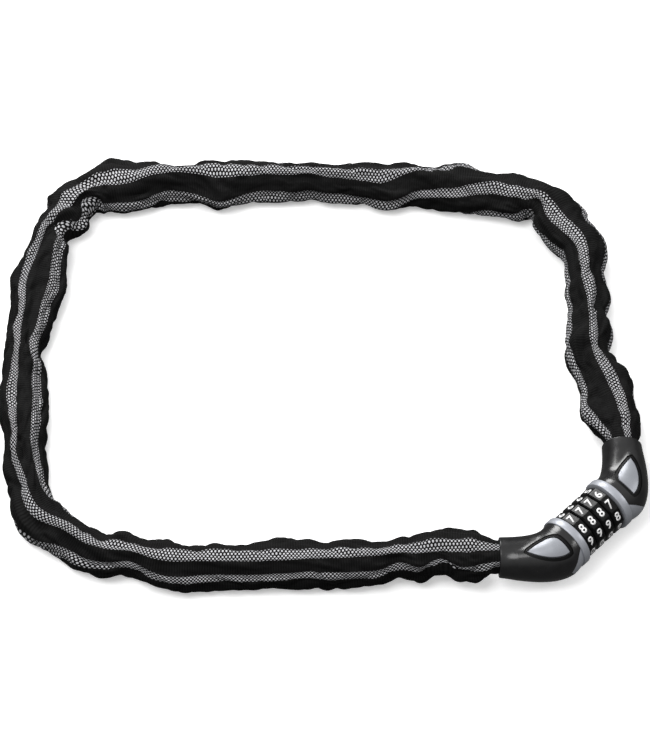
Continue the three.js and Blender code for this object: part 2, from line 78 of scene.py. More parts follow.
DIALS = 4
DIGITS = 10
DIAL_PITCH = 6.1
DIAL_WIDTH = 5.7
DIAL_CORNER_R = 11.9
WHEEL_RIM_R = 11.12
WHEEL_BORE_R = 8.95
INDEX_DEG = 20.0  # the code line, from +Z towards the outer side
SHOWN_ON_LINE = [8, 8, 8, 7]  # the numeral of each wheel on the code line at rest
NUMERAL_HEIGHT = 4.55
NUMERAL_WIDTH = 2.75
NUMERAL_RAISED = 0.06
BARREL_HALF = DIALS * DIAL_PITCH / 2 + 0.3
COLLAR_R = 12.9
COLLAR_WIDTH = 3.9
COVER_START = BARREL_HALF + COLLAR_WIDTH
VERTEX_X = 25.7
SOCKET_LENGTH = 23.0
SOCKET_R = 9.25
COVER_WALL = 1.25
SEAT_END = 23.0
BOLT_R = 3.9
BOLT_TIP = -15.0
FIN_TOP_R = 6.9
FIN_THICKNESS = 1.5
FIN_WIDTH = 2.4

# ---- frames of reference

barrel = JOINTS["dial_1_spin"]
barrel_x = Vector(barrel["axis"]).normalized()
barrel_y = Vector((0, 0, 1)).cross(barrel_x)
barrel_axes = Matrix((barrel_x, barrel_y, Vector((0, 0, 1)))).transposed().to_4x4()
HEAD = Matrix.Translation(Vector(barrel["pos_m"])) @ barrel_axes @ Matrix.Scale(MM, 4)
MIRROR = Matrix.Scale(-1, 4, Vector((1, 0, 0)))


def swing_name(pivot):
    return f"chain_{pivot + 1:02d}_swing"


def chain_pivots():
    """Hinge points of the chain, from the lock's anchor pin to the plug's.

    A joint gives every second one. A link's middle lies half way between its hinge points, which gives the
    rest.
    """
    pivots = []
    for pivot in range(LINKS + 1):
        if swing_name(pivot) in JOINTS:
            pivots.append(np.array(JOINTS[swing_name(pivot)]["pos_m"]) / MM)
        else:
            low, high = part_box(f"chain_link_{pivot:02d}")
            pivots.append(np.array(low + high) / MM - pivots[-1])
    return np.array(pivots)


def body_of(link):
    """The first link moves alone; the others move in pairs."""
    if link == 1:
        return "link_01"
    first = link - link % 2
    return f"links_{first:02d}_{first + 1:02d}"


PIVOTS = chain_pivots()
OPENED_PIVOT = 9  # the hinge point at which the modelled chain ends its two branches


# ---- small helpers

def smoothstep(value, low, high):
    t = np.clip((value - low) / (high - low), 0.0, 1.0)
    return t * t * (3 - 2 * t)


def spaced_angles(count, offset=0.0):
    """Angles of count points round a circle, the first of them offset steps on."""
    return (np.arange(count) + offset) / count * 2 * math.pi


def ring_about_x(x, radius, angles):
    """Points about the X axis; angles run from +Z towards -Y."""
    return np.column_stack([np.full(len(angles), x), -radius * np.sin(angles), radius * np.cos(angles)])


def unit(vectors):
    """Rows of vectors, each scaled to length 1."""
    return vectors / np.linalg.norm(vectors, axis=1)[:, None]


def signed_area(outline):
    """Twice the area inside a plan outline, positive where it runs anticlockwise."""
    return np.sum(outline[:, 0] * np.roll(outline[:, 1], -1) - np.roll(outline[:, 0], -1) * outline[:, 1])


def grid_faces(rows, around, looped=False):
    """Quads of a tube of rings; the rings turn anticlockwise about the way the rows run."""
    spans = rows if looped else rows - 1
    faces = []
    for i in range(spans):
        here = i * around
        after = ((i + 1) % rows) * around
        for j in range(around):
            k = (j + 1) % around
            faces.append((here + j, here + k, after + k, after + j))
    return faces


def new_object(name, data):
    obj = bpy.data.objects.new(name, data)
    bpy.context.scene.collection.objects.link(obj)
    return obj


def add_mesh(name, points, faces, material=None, sharp_deg=None):
    mesh = bpy.data.meshes.new(name)
    mesh.from_pydata([tuple(p) for p in points], [], faces)
    mesh.validate()
    mesh.polygons.foreach_set("use_smooth", [True] * len(mesh.polygons))
    if sharp_deg is not None:
        mesh.set_sharp_from_angle(angle=math.radians(sharp_deg))
    if material is not None:
        mesh.materials.append(material)
    return new_object(name, mesh)


def capped_tube(name, rings):
    """A closed solid through a list of rings, with a flat cap at each end."""
    around = len(rings[0])
    points = np.concatenate(rings)
    faces = grid_faces(len(rings), around)
    faces.append(tuple(reversed(range(around))))
    faces.append(tuple(range(len(points) - around, len(points))))
    solid = add_mesh(name, points, faces, sharp_deg=35)
    recalculate_normals(solid)
    return solid


def lathe(name, profile, material, sides):
    """Turns a closed profile of (x, radius) points about the X axis."""
    angles = np.linspace(0, 2 * math.pi, sides, endpoint=False)
    rings = [ring_about_x(x, radius, angles) for x, radius in profile]
    return add_mesh(name, np.concatenate(rings), grid_faces(len(rings), sides, True), material, 30)


def recalculate_normals(obj):
    work = bmesh.new()
    work.from_mesh(obj.data)
    bmesh.ops.recalc_face_normals(work, faces=work.faces)
    work.to_mesh(obj.data)
    work.free()


def evaluated(obj):
    return obj.evaluated_get(bpy.context.evaluated_depsgraph_get())


def boolean(obj, operation, *tools):
    """Applies booleans to obj and deletes the tools."""
    for tool in tools:
        modifier = obj.modifiers.new(operation, "BOOLEAN")
        modifier.operation = operation
        modifier.object = tool
        modifier.solver = "EXACT"
        apply_modifiers(obj)
        bpy.data.objects.remove(tool)


def apply_modifiers(obj):
    bpy.context.view_layer.update()
    old = obj.data
    applied = bpy.data.meshes.new_from_object(evaluated(obj))
    obj.modifiers.clear()
    obj.data = applied
    bpy.data.meshes.remove(old)


def joined(meshes):
    """One bmesh of all the meshes, which are used up."""
    work = bmesh.new()
    for mesh in meshes:
        work.from_mesh(mesh)
        bpy.data.meshes.remove(mesh)
    return work


def mesh_from(work, name):
    """Turns a bmesh into a mesh and frees it."""
    mesh = bpy.data.meshes.new(name)
    work.to_mesh(mesh)
    work.free()
    return mesh


def set_material(obj, material):
    obj.data.materials.clear()
    obj.data.materials.append(material)


def finished(obj, sharp_deg, material):
    """Shades obj smooth but for edges sharper than sharp_deg, and gives it its material."""
    obj.data.polygons.foreach_set("use_smooth", [True] * len(obj.data.polygons))
    obj.data.set_sharp_from_angle(angle=math.radians(sharp_deg))
    set_material(obj, material)
    return obj


def tie(obj, body, slot, *replaced):
    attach(obj, body)
    if replaced:
        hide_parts(*replaced)


def place_on_head(obj, body, slot, *replaced):
    """Moves a finished head piece out of the head's own frame and ties it to its body."""
    obj.data.transform(HEAD)
    tie(obj, body, slot, *replaced)


def mirror_in_place(obj, name):
    obj.name = name
    obj.data.transform(MIRROR)
    obj.data.flip_normals()
    return obj


def mirrored_copy(obj, name):
    copy = obj.copy()
    copy.data = obj.data.copy()
    bpy.context.scene.collection.objects.link(copy)
    return mirror_in_place(copy, name)


# ---- materials

class Shader:
    """Builds the nodes of a material or a world: most calls add a node and return its output."""

    def __init__(self, owner, surface="Principled BSDF"):
        owner.use_nodes = True
        self.owner = owner
        self.tree = owner.node_tree
        self.surface = self.tree.nodes[surface]

    def node(self, kind, inputs=None, **settings):
        made = self.tree.nodes.new(kind)
        for key, value in settings.items():
            setattr(made, key, value)
        for key, value in (inputs or {}).items():
            self.feed(made.inputs[key], value)
        return made

    def feed(self, socket, value):
        if isinstance(value, bpy.types.NodeSocket):
            self.tree.links.new(value, socket)
        else:
            socket.default_value = value

    def math(self, operation, first, second=0.0):
        return self.node("ShaderNodeMath", {0: first, 1: second}, operation=operation).outputs[0]

    def noise(self, coordinates, scale, detail=3.0, roughness=0.5):
        inputs = {"Vector": coordinates, "Scale": scale, "Detail": detail, "Roughness": roughness}
        return self.node("ShaderNodeTexNoise", inputs).outputs["Fac"]

    def fit(self, value, low, high, to_low, to_high):
        inputs = {"Value": value, "From Min": low, "From Max": high, "To Min": to_low, "To Max": to_high}
        return self.node("ShaderNodeMapRange", inputs).outputs["Result"]

    def blend(self, factor, first, second):
        made = self.node("ShaderNodeMix", {"Factor": factor}, data_type="RGBA")
        self.feed(made.inputs[6], first)
        self.feed(made.inputs[7], second)
        return made.outputs[2]

    def bump(self, height, distance_m, strength=1.0):
        inputs = {"Height": height, "Distance": distance_m, "Strength": strength}
        return self.node("ShaderNodeBump", inputs).outputs["Normal"]

    def position(self):
        return self.node("ShaderNodeTexCoord").outputs["Object"]

    def finish(self, **inputs):
        for key, value in inputs.items():
            self.feed(self.surface.inputs[key.replace("_", " ")], value)
        return self.owner


def new_shader(name):
    return Shader(bpy.data.materials.new(name))


def grey(value, blue=1.0):
    return (value, value, value * blue, 1.0)


def cool_grey(value):
    return (value * 0.95, value * 0.99, value * 1.08, 1.0)


def moulded_plastic(name, shade, roughness, grain_m=0.000012, specular=0.5):
    """Black plastic with a fine moulded texture and faint handling marks."""
    s = new_shader(name)
    where = s.position()
    grain = s.noise(where, 2600, 4.0, 0.6)
    marks = s.noise(where, 160, 5.0, 0.65)
    handled = s.fit(marks, 0.35, 0.7, 0.0, 1.0)
    return s.finish(
        # The slight blue (1.04) in both greys is a painted tint of bluish reflections.
        Base_Color=s.blend(handled, grey(shade * 0.8, 1.04), grey(shade * 1.25, 1.04)),
        Roughness=s.fit(marks, 0.3, 0.7, roughness - 0.04, roughness + 0.07),
        Normal=s.bump(grain, grain_m),
        IOR=1.5,
        Specular_IOR_Level=specular,
    )


def silver_paint(name, shade):
    """Silver paint: fine metal flakes under a satin coat."""
    s = new_shader(name)
    where = s.position()
    flakes = s.noise(where, 5200, 2.0, 0.7)
    clouds = s.noise(where, 90, 3.0)
    tone = s.math("ADD", s.fit(flakes, 0.3, 0.7, 0.0, 0.75), s.fit(clouds, 0.3, 0.7, 0.0, 0.25))
    return s.finish(
        Base_Color=s.blend(tone, cool_grey(shade * 0.82), cool_grey(shade * 1.15)),
        Metallic=0.3,
        Roughness=s.fit(flakes, 0.3, 0.7, 0.36, 0.46),
        Normal=s.bump(flakes, 0.000010),
    )


def numeral_paint():
    s = new_shader("numeral_white")
    wear = s.noise(s.position(), 900, 4.0, 0.7)
    return s.finish(
        Base_Color=s.blend(s.fit(wear, 0.55, 0.8, 0.0, 1.0), grey(0.86), grey(0.62)),
        Roughness=0.45,
        Normal=s.bump(wear, 0.00001),
    )


def bare_metal(name, light, dark, roughness):
    """Plated or machined metal with turning marks, clouding and small scratches."""
    s = new_shader(name)
    where = s.position()
    stretched = s.node("ShaderNodeMapping", {"Vector": where, "Scale": (1.0, 1.0, 14.0)}).outputs[0]
    lines = s.noise(stretched, 420, 4.0, 0.6)
    clouds = s.noise(where, 140, 4.0, 0.6)
    return s.finish(
        Base_Color=s.blend(s.fit(clouds, 0.35, 0.68, 0.0, 1.0), light, dark),
        Metallic=1.0,
        Roughness=s.fit(lines, 0.3, 0.7, roughness - 0.08, roughness + 0.1),
        Normal=s.bump(lines, 0.000015),
    )


SLEEVE_AROUND = 67.0  # the woven tube's circumference
STRIPES = 4
STRIPE_HALF = 2.75
DASH_PITCH = 1.7
DASH_ROW = 1.15
DASH_HALF = 0.27  # half a dash's length, as a share of the pitch
DASH_HALF_WIDTH = 0.38  # half a dash's width, as a share of the row
RIB_PITCH = 1.15
THREAD_PITCH = 0.55


def woven_sleeve():
    """Black ribbed webbing with lengthwise stripes of light dashes in rows that step by half a pitch.

    The UV map holds the distance along the tube, in metres, and the share of the way round it.
    """
    s = new_shader("woven_sleeve")
    uv = s.node("ShaderNodeUVMap", uv_map="sleeve").outputs[0]
    parts = s.node("ShaderNodeSeparateXYZ", {0: uv})
    along = s.math("MULTIPLY", parts.outputs[0], 1 / MM)
    share = s.math("FRACT", s.math("MULTIPLY", parts.outputs[1], float(STRIPES)))
    across = s.math("MULTIPLY", s.math("SUBTRACT", share, 0.5), SLEEVE_AROUND / STRIPES)

    row = s.math("FLOOR", s.math("DIVIDE", across, DASH_ROW))
    shift = s.math("MULTIPLY", s.math("MODULO", s.math("ABSOLUTE", row), 2.0), 0.5)
    step = s.math("FRACT", s.math("ADD", s.math("DIVIDE", along, DASH_PITCH), shift))
    row_share = s.math("FRACT", s.math("DIVIDE", across, DASH_ROW))
    reach = 0.0
    for place, half in ((step, DASH_HALF), (row_share, DASH_HALF_WIDTH)):
        from_middle = s.math("ABSOLUTE", s.math("DIVIDE", s.math("SUBTRACT", place, 0.5), half))
        reach = s.math("ADD", reach, s.math("POWER", from_middle, 2.5))
    stripe = s.math("LESS_THAN", s.math("ABSOLUTE", across), STRIPE_HALF)
    dash = s.math("MULTIPLY", s.fit(reach, 0.75, 1.15, 1.0, 0.0), stripe)

    where = s.position()
    yarn = s.noise(where, 900, 4.0, 0.7)
    dust = s.noise(where, 60, 4.0, 0.6)
    rib_turn = s.math("MULTIPLY", along, 2 * math.pi / RIB_PITCH)
    rib = s.math("SINE", s.math("ADD", rib_turn, s.math("MULTIPLY", yarn, 1.2)))
    thread_turn = s.math("MULTIPLY", across, 2 * math.pi / THREAD_PITCH)
    thread = s.math("SINE", s.math("ADD", thread_turn, s.math("MULTIPLY", yarn, 2.0)))
    weave = s.math("ADD", s.math("MULTIPLY", rib, 0.5), s.math("MULTIPLY", thread, 0.18))
    height = s.math("ADD", weave, s.math("MULTIPLY", dash, 0.9))
    height = s.math("ADD", height, s.math("MULTIPLY", yarn, 0.5))

    # Painted light and shade: the black is lighter on the weave's crests and darker in its valleys,
    # following the bump's height.
    crest_painted_light = s.fit(weave, -0.6, 0.6, 0.0, 1.0)
    black = s.blend(crest_painted_light, grey(0.001), grey(0.006))
    black = s.blend(s.fit(dust, 0.45, 0.75, 0.0, 0.35), black, grey(0.012))
    light = s.blend(s.fit(yarn, 0.35, 0.7, 0.0, 1.0), grey(0.4, 1.03), grey(0.58, 1.04))
    return s.finish(
        Base_Color=s.blend(dash, black, light),
        Roughness=s.fit(dash, 0.0, 1.0, 0.75, 0.5),
        Specular_IOR_Level=0.08,
        Sheen_Weight=0.01,
        Sheen_Roughness=0.4,
        Normal=s.bump(height, 0.00016, 0.9),
    )


COVER_PLASTIC = moulded_plastic("cover_plastic", 0.011, 0.21, specular=0.45)
DIAL_PLASTIC = moulded_plastic("dial_plastic", 0.004, 0.24, 0.000006, specular=0.18)
# The frame's darker black (0.003 against the cover's 0.011) is painted shade on the windows' inner bevel.
FRAME_SHADE_PLASTIC = moulded_plastic("frame_painted_shade", 0.003, 0.5, specular=0.12)
SILVER = silver_paint("silver_paint", 0.36)
# The pads' darker silver is the casting's own paint with painted shade, for the pads sunk in the windows.
PAD_SHADED_SILVER = silver_paint("pad_silver_painted_shade", 0.27)
NUMERAL = numeral_paint()
ZINC = bare_metal("zinc_plated_steel", (0.56, 0.58, 0.61, 1), (0.42, 0.44, 0.48, 1), 0.34)
STEEL = bare_metal("turned_steel", (0.4, 0.4, 0.41, 1), (0.29, 0.29, 0.3, 1), 0.28)
SPRING = bare_metal("spring_steel", (0.36, 0.37, 0.4, 1), (0.24, 0.25, 0.28, 1), 0.3)
BRASS = bare_metal("cut_brass", (0.78, 0.6, 0.3, 1), (0.62, 0.46, 0.21, 1), 0.3)
SLEEVE = woven_sleeve()


# ---- elbows: covers and castings

SIN45 = math.sqrt(0.5)
ALONG = np.array([SIN45, SIN45])  # the chain's way out of the right elbow
OUTWARD = np.array([SIN45, -SIN45])
MOUTH = np.array([VERTEX_X, 0.0]) + SOCKET_LENGTH * ALONG
ANCHOR = np.array([VERTEX_X, 0.0]) + (SOCKET_LENGTH - PIN_TO_MOUTH) * ALONG
MOUTH_INNER = MOUTH - SOCKET_R * OUTWARD
MOUTH_OUTER = MOUTH + SOCKET_R * OUTWARD
START_R = 12.35
INNER_EDGE = np.array([[COVER_START, START_R], [20.5, 10.2], MOUTH_INNER - 11 * ALONG, MOUTH_INNER])
OUTER_EDGE = np.array([
    [COVER_START, -START_R], [29.3, -17.2], MOUTH_OUTER - 11.5 * ALONG + 1.6 * OUTWARD, MOUTH_OUTER,
])
# The shoulder's half width, in shares of the elbow's, and its height, as (share of the way along, value).
SHOULDER_SHARE = [(0, 1), (0.2, 0.97), (0.5, 0.84), (0.8, 0.72), (1, 0.66)]
SHOULDER_UP = [(0, START_R), (0.15, 12.3), (0.35, 11.9), (0.55, 11.0), (0.8, 9.4), (1, 7.2)]
BLEND_POWER = 26  # how tightly the neck and the shoulder merge
FRAME_WIDTH = 1.3
FRAME_DEPTH = 0.45
PAD_DEPTH = 0.5
PAD_GAP = 0.6  # between the pad and the frame round it
TONGUE_END = 25.0
TONGUE_HALF = 8.3
TONGUE_GAP = 0.3
ELBOW_SHARP_DEG = 38
PIN_HOLE_R = 2.15
FORK_LENGTH = 26.0
FORK_WIDTH = 17.2
FORK_PAST_PIN = 3.8


def bezier(points, t):
    u = 1 - t
    return u**3 * points[0] + 3 * u * u * t * points[1] + 3 * u * t * t * points[2] + t**3 * points[3]


def ray_to_ellipse(angles, offset, across, up):
    """Distance from the origin to an ellipse whose centre lies offset along the first axis."""
    cos = np.cos(angles)
    sin = np.sin(angles)
    a = (cos / across) ** 2 + (sin / up) ** 2
    b = -2 * offset * cos / across**2
    c = (offset / across) ** 2 - 1
    return (-b + np.sqrt(np.maximum(b * b - 4 * a * c, 0))) / (2 * a)


def elbow_ring(t, inset, count):
    """One section of the right elbow: a round neck with the shoulder's swelling on its outer side."""
    inner = bezier(INNER_EDGE, t)
    outer = bezier(OUTER_EDGE, t)
    centre = (inner + outer) / 2
    across = inner - outer
    half = np.linalg.norm(across) / 2
    across = across / (2 * half)
    angles = spaced_angles(count, 0.5)
    neck_r = SOCKET_R + (START_R - SOCKET_R) * (1 - smoothstep(t, 0.0, 0.5))
    neck_r = min(neck_r, half)
    neck = ray_to_ellipse(angles, half - neck_r, neck_r, neck_r)
    shoulder_half = half * np.interp(t, *zip(*SHOULDER_SHARE))
    shoulder_up = np.interp(t, *zip(*SHOULDER_UP))
    shoulder = ray_to_ellipse(angles, shoulder_half - half, shoulder_half, shoulder_up)
    joined = (neck**BLEND_POWER + shoulder**BLEND_POWER) ** (1 / BLEND_POWER)
    at_collar = 1 - smoothstep(t, 0, 0.15)
    radius = joined * 0.5 ** (1 / BLEND_POWER * at_collar) - inset
    flat = centre[None, :] + across[None, :] * (radius * np.cos(angles))[:, None]
    return np.column_stack([flat, radius * np.sin(angles)])


def elbow_solid(name, inset, stations=90, count=96):
    return capped_tube(name, [elbow_ring(t, inset, count) for t in np.linspace(0, 1, stations)])


def elbow_shell(name, stations, count):
    """The cover: the elbow's outer skin, a rounded lip at the mouth and the inner skin."""
    mouth_way = np.array([*ALONG, 0.0])
    rings = [elbow_ring(t, 0, count) for t in np.linspace(0, 1, stations)]
    for inset, ahead in ((0.03, 0.15), (0.3, 0.42), (0.62, 0.5), (0.95, 0.42), (COVER_WALL - 0.03, 0.15)):
        rings.append(elbow_ring(1.0, inset, count) + mouth_way * ahead)
    rings.extend(elbow_ring(t, COVER_WALL, count) for t in np.linspace(1, 0, stations // 3))
    shell = add_mesh(name, np.concatenate(rings), grid_faces(len(rings), count, True))
    recalculate_normals(shell)
    return shell


def leaf_outline(grow):
    """Window outline in plan: a leaf with a rounded corner at the inner side of the bend."""
    tip = np.array([36.0, 6.6])
    crown = np.array([22.8, 3.4])
    heel = np.array([21.5, -8.0])
    curves = [
        [tip, (31.4, 6.4), (26.6, 5.9), crown + (1.2, 0.9)],
        [crown + (1.2, 0.9), crown + (-0.8, -0.4), crown + (-1.6, -2.0), crown + (-1.7, -3.2)],
        [crown + (-1.7, -3.2), (21.0, -2.6), (21.0, -5.2), heel],
        [heel, (26.5, -8.6), (33.8, -2.4), tip],
    ]
    points = []
    for curve in curves:
        curve = np.array(curve)
        points.extend(bezier(curve, t) for t in np.linspace(0, 1, 14, endpoint=False))
    return offset_outline(np.array(points), grow)


def offset_outline(points, grow):
    """Moves an outline outwards by grow."""
    way = unit(np.roll(points, -1, axis=0) - np.roll(points, 1, axis=0))
    side = 1 if signed_area(points) > 0 else -1
    return points + grow * (np.column_stack([way[:, 1], -way[:, 0]]) * side)


def extrusion(name, outline, ends, axis=2, centre=(0, 0, 0)):
    """A straight solid: an outline swept along an axis (0 is X, 2 is Z) between two ends."""
    return capped_tube(name, [np.insert(outline, axis, end, axis=1) + np.array(centre) for end in ends])


def prism(name, outline, low, high):
    return extrusion(name, outline if signed_area(outline) > 0 else outline[::-1], (low, high))


def tongue_tool(name, grow):
    """Wedge on the outer side of the bend, widest at the collar. Its outline lies in the XZ plane."""
    start = COVER_START - 1.5
    end = TONGUE_END + grow
    half = TONGUE_HALF + grow
    stations = np.linspace(0, 1, 16)
    top = [(start + (end - start) * t, half * math.cos(t * math.pi / 2) ** 0.85) for t in stations]
    outline = np.array(top + [(x, -z) for x, z in reversed(top[:-1])])
    return extrusion(name, outline, (-4.0, -18.0), axis=1)


def box_solid(name, size, centre, turn):
    x, y, z = np.array(size) / 2
    rotation = np.array([[math.cos(turn), math.sin(turn)], [-math.sin(turn), math.cos(turn)]])
    outline = np.array([[-x, -y], [x, -y], [x, y], [-x, y]]) @ rotation
    return extrusion(name, outline, (-z, z), centre=centre)


def round_solid(name, radius, length, centre, axis=2):
    angles = np.linspace(0, 2 * math.pi, 48, endpoint=False)
    outline = np.column_stack([radius * np.cos(angles), radius * np.sin(angles)])
    return extrusion(name, outline, (-length / 2, length / 2), axis, centre)


def make_cover():
    cover = elbow_shell("plug_cover_shell", 120, 128)
    window = prism("window", leaf_outline(FRAME_WIDTH), -20, 20)
    boolean(cover, "DIFFERENCE", window, tongue_tool("tongue", 0.0))
    return finished(cover, ELBOW_SHARP_DEG, COVER_PLASTIC)


def make_frames():
    """The sunken frame round both windows of the cover, in a darker, matt copy of the cover's plastic:
    painted shade on the windows' inner bevel.
    """
    frames = elbow_solid("plug_window_frame", FRAME_DEPTH)
    boolean(frames, "INTERSECT", prism("frame_outline", leaf_outline(FRAME_WIDTH - 0.02), -20, 20))
    opening = prism("frame_opening", leaf_outline(-0.1), -21, 21)
    boolean(frames, "DIFFERENCE", opening, elbow_solid("frame_back", COVER_WALL))
    return finished(frames, ELBOW_SHARP_DEG, FRAME_SHADE_PLASTIC)


def make_pads():
    """The casting's boss that shows as a pad in both windows of the cover, in a darker copy of the casting's
    silver paint: painted shade on the pads sunk in the windows.
    """
    pads = elbow_solid("plug_window_pad", PAD_DEPTH)
    boolean(pads, "INTERSECT", prism("pad_outline", leaf_outline(-PAD_GAP), -20, 20))
    return finished(pads, ELBOW_SHARP_DEG, PAD_SHADED_SILVER)


def make_tongue():
    tongue = elbow_solid("plug_tongue", 0.1)
    boolean(tongue, "INTERSECT", tongue_tool("tongue_outline", -TONGUE_GAP))
    return finished(tongue, ELBOW_SHARP_DEG, SILVER)


def make_collar(bore):
    """Collar beside the dials, recessed for the washers, with the boss that seats the barrel behind it."""
    face = BARREL_HALF
    back = COVER_START
    profile = [
        (face, 9.4), (face, COLLAR_R - 0.5), (face + 0.14, COLLAR_R - 0.16), (face + 0.45, COLLAR_R),
        (back - 0.4, COLLAR_R), (back - 0.1, COLLAR_R - 0.12), (back, COLLAR_R - 0.4),
        (back, 11.0), (SEAT_END + 0.3, 7.6), (SEAT_END + 0.3, bore), (face + 1.5, bore),
        (face + 1.2, bore + 0.3), (face + 1.2, 9.4),
    ]
    return lathe("plug_collar", profile, SILVER, 128)


def make_casting_body():
    """The part of the casting under the cover, down to the fork that holds the anchor pin."""
    body = elbow_solid("plug_casting_body", COVER_WALL + 0.35, 40, 48)
    turn = math.pi / 4
    trim_length = 30
    trim_at = ANCHOR + ALONG * (trim_length / 2 + FORK_PAST_PIN)
    slot_back = ANCHOR_REACH + WIRE / 2 + 1
    slot_at = ANCHOR + ALONG * (FORK_LENGTH / 2 - slot_back)
    boolean(
        body, "DIFFERENCE",
        box_solid("trim", (trim_length, 60, 60), (*trim_at, 0), turn),
        box_solid("slot", (FORK_LENGTH, FORK_WIDTH, WIRE + 2), (*slot_at, 0), turn),
        round_solid("pin_hole", PIN_HOLE_R, 40, (*ANCHOR, 0)),
        round_solid("seat", 6.4, 2 * (SEAT_END + 0.2 - COVER_START), (COVER_START, 0, 0), 0),
    )
    return finished(body, 35, SILVER)


def make_elbows():
    for make, name, slot, node in (
        (make_cover, "cover", "black_cover", "cover"),
        (make_frames, "window_frame", "black_cover", "cover"),
        (make_pads, "window_pad", "silver_casting", "casting"),
        (make_tongue, "tongue", "silver_casting", "casting"),
        (make_casting_body, "casting_body", "silver_casting", "casting"),
    ):
        right = make()
        right.name = f"plug_{name}_skin" if name == "cover" else f"plug_{name}_piece"
        left = mirrored_copy(right, right.name.replace("plug_", "lock_"))
        place_on_head(right, "plug", slot, f"plug_{node}")
        place_on_head(left, "lock_body", slot, f"lock_{node}")
    plug_collar = make_collar(BOLT_R + 0.3)
    lock_collar = mirror_in_place(make_collar(6.3), "lock_collar")
    place_on_head(plug_collar, "plug", "silver_casting", "plug_casting")
    place_on_head(lock_collar, "lock_body", "silver_casting", "lock_casting")


# ---- number wheels

def decagon_radius(angles, corner_r):
    step = 2 * math.pi / DIGITS
    from_face = (angles + step / 2) % step - step / 2
    return corner_r * math.cos(step / 2) / np.cos(from_face)


def make_wheel(name, index):
    """Ten flat faces that fall away to a round rim at both edges, and a plain bore."""
    sides = 200
    half = DIAL_WIDTH / 2
    turn = np.linspace(0, 2 * math.pi, sides, endpoint=False)
    faceted = np.minimum(decagon_radius(turn, DIAL_CORNER_R), DIAL_CORNER_R - 0.08)
    # (distance from the wheel's side, share of the facets, how far the round part lies under the rim)
    edge = [(0.0, 0.0, 0.55), (0.12, 0.0, 0.2), (0.35, 0.0, 0.0), (0.5, 0.35, 0.0), (0.62, 1.0, 0.0)]
    stations = [(inwards - half, share, drop) for inwards, share, drop in edge]
    stations += [(half - inwards, share, drop) for inwards, share, drop in reversed(edge)]
    angles = turn + math.radians(INDEX_DEG)
    rings = []
    for x, share, drop in stations:
        rings.append(ring_about_x(x, share * faceted + (1 - share) * (WHEEL_RIM_R - drop), angles))
    for x in (half, -half):
        rings.append(ring_about_x(x, WHEEL_BORE_R, angles))
    wheel = add_mesh(name, np.concatenate(rings), grid_faces(len(rings), sides, True), DIAL_PLASTIC, 24)
    wheel.data.transform(Matrix.Translation((dial_x(index), 0, 0)))
    return wheel


def dial_x(index):
    return (index - (DIALS - 1) / 2) * DIAL_PITCH


def digit_mesh(digit, height, width):
    """A bold numeral as a flat mesh of the given height, centred on its origin."""
    curve = bpy.data.curves.new("digit", "FONT")
    curve.body = str(digit)
    curve.size = 1.0
    curve.offset = 0.018
    curve.resolution_u = 6
    holder = new_object("digit", curve)
    bpy.context.view_layer.update()
    mesh = bpy.data.meshes.new_from_object(evaluated(holder))
    bpy.data.objects.remove(holder)
    points = np.array([v.co for v in mesh.vertices])
    low, high = points.min(axis=0), points.max(axis=0)
    middle = (low + high) / 2
    scale_y = height / (high[1] - low[1])
    scale_x = width / (high[0] - low[0]) if digit != 1 else scale_y * 0.85
    centring = Matrix.Translation((-middle[0], -middle[1], 0))
    mesh.transform(Matrix.Diagonal((scale_x, scale_y, 1, 1)) @ centring)
    return mesh


def make_numerals(name, index, shown_on_line):
    """The ten numerals of one wheel. Their tops point to the inner side, and they read along the barrel."""
    apothem = DIAL_CORNER_R * math.cos(math.pi / DIGITS)
    out = Matrix.Translation((0, 0, apothem + NUMERAL_RAISED))
    meshes = []
    for digit in range(DIGITS):
        mesh = digit_mesh(digit, NUMERAL_HEIGHT, NUMERAL_WIDTH)
        angle = math.radians(INDEX_DEG) + (digit - shown_on_line) * 2 * math.pi / DIGITS
        turn = Matrix.Rotation(angle, 4, "X")
        mesh.transform(Matrix.Translation((dial_x(index), 0, 0)) @ turn @ out)
        meshes.append(mesh)
    work = joined(meshes)
    bmesh.ops.remove_doubles(work, verts=work.verts, dist=0.001)
    bmesh.ops.solidify(work, geom=list(work.faces), thickness=NUMERAL_RAISED * 1.5)
    bmesh.ops.recalc_face_normals(work, faces=work.faces)
    obj = new_object(name, mesh_from(work, name))
    set_material(obj, NUMERAL)
    return obj


def make_dials():
    for index in range(DIALS):
        body = f"dial_{index + 1}"
        wheel = make_wheel(f"dial_{index + 1}_wheel", index)
        place_on_head(wheel, body, "dial_black", f"number_wheel_{index + 1}")
        numerals = make_numerals(f"dial_{index + 1}_numerals", index, SHOWN_ON_LINE[index])
        place_on_head(numerals, body, "dial_black")


# ---- bolt and other metal inside the head

def bevelled_box(size, centre, bevel):
    work = bmesh.new()
    bmesh.ops.create_cube(work, size=1.0)
    bmesh.ops.scale(work, vec=size, verts=work.verts)
    bmesh.ops.translate(work, vec=centre, verts=work.verts)
    bmesh.ops.bevel(work, geom=list(work.edges), offset=bevel, segments=2, affect="EDGES")
    return mesh_from(work, "block")


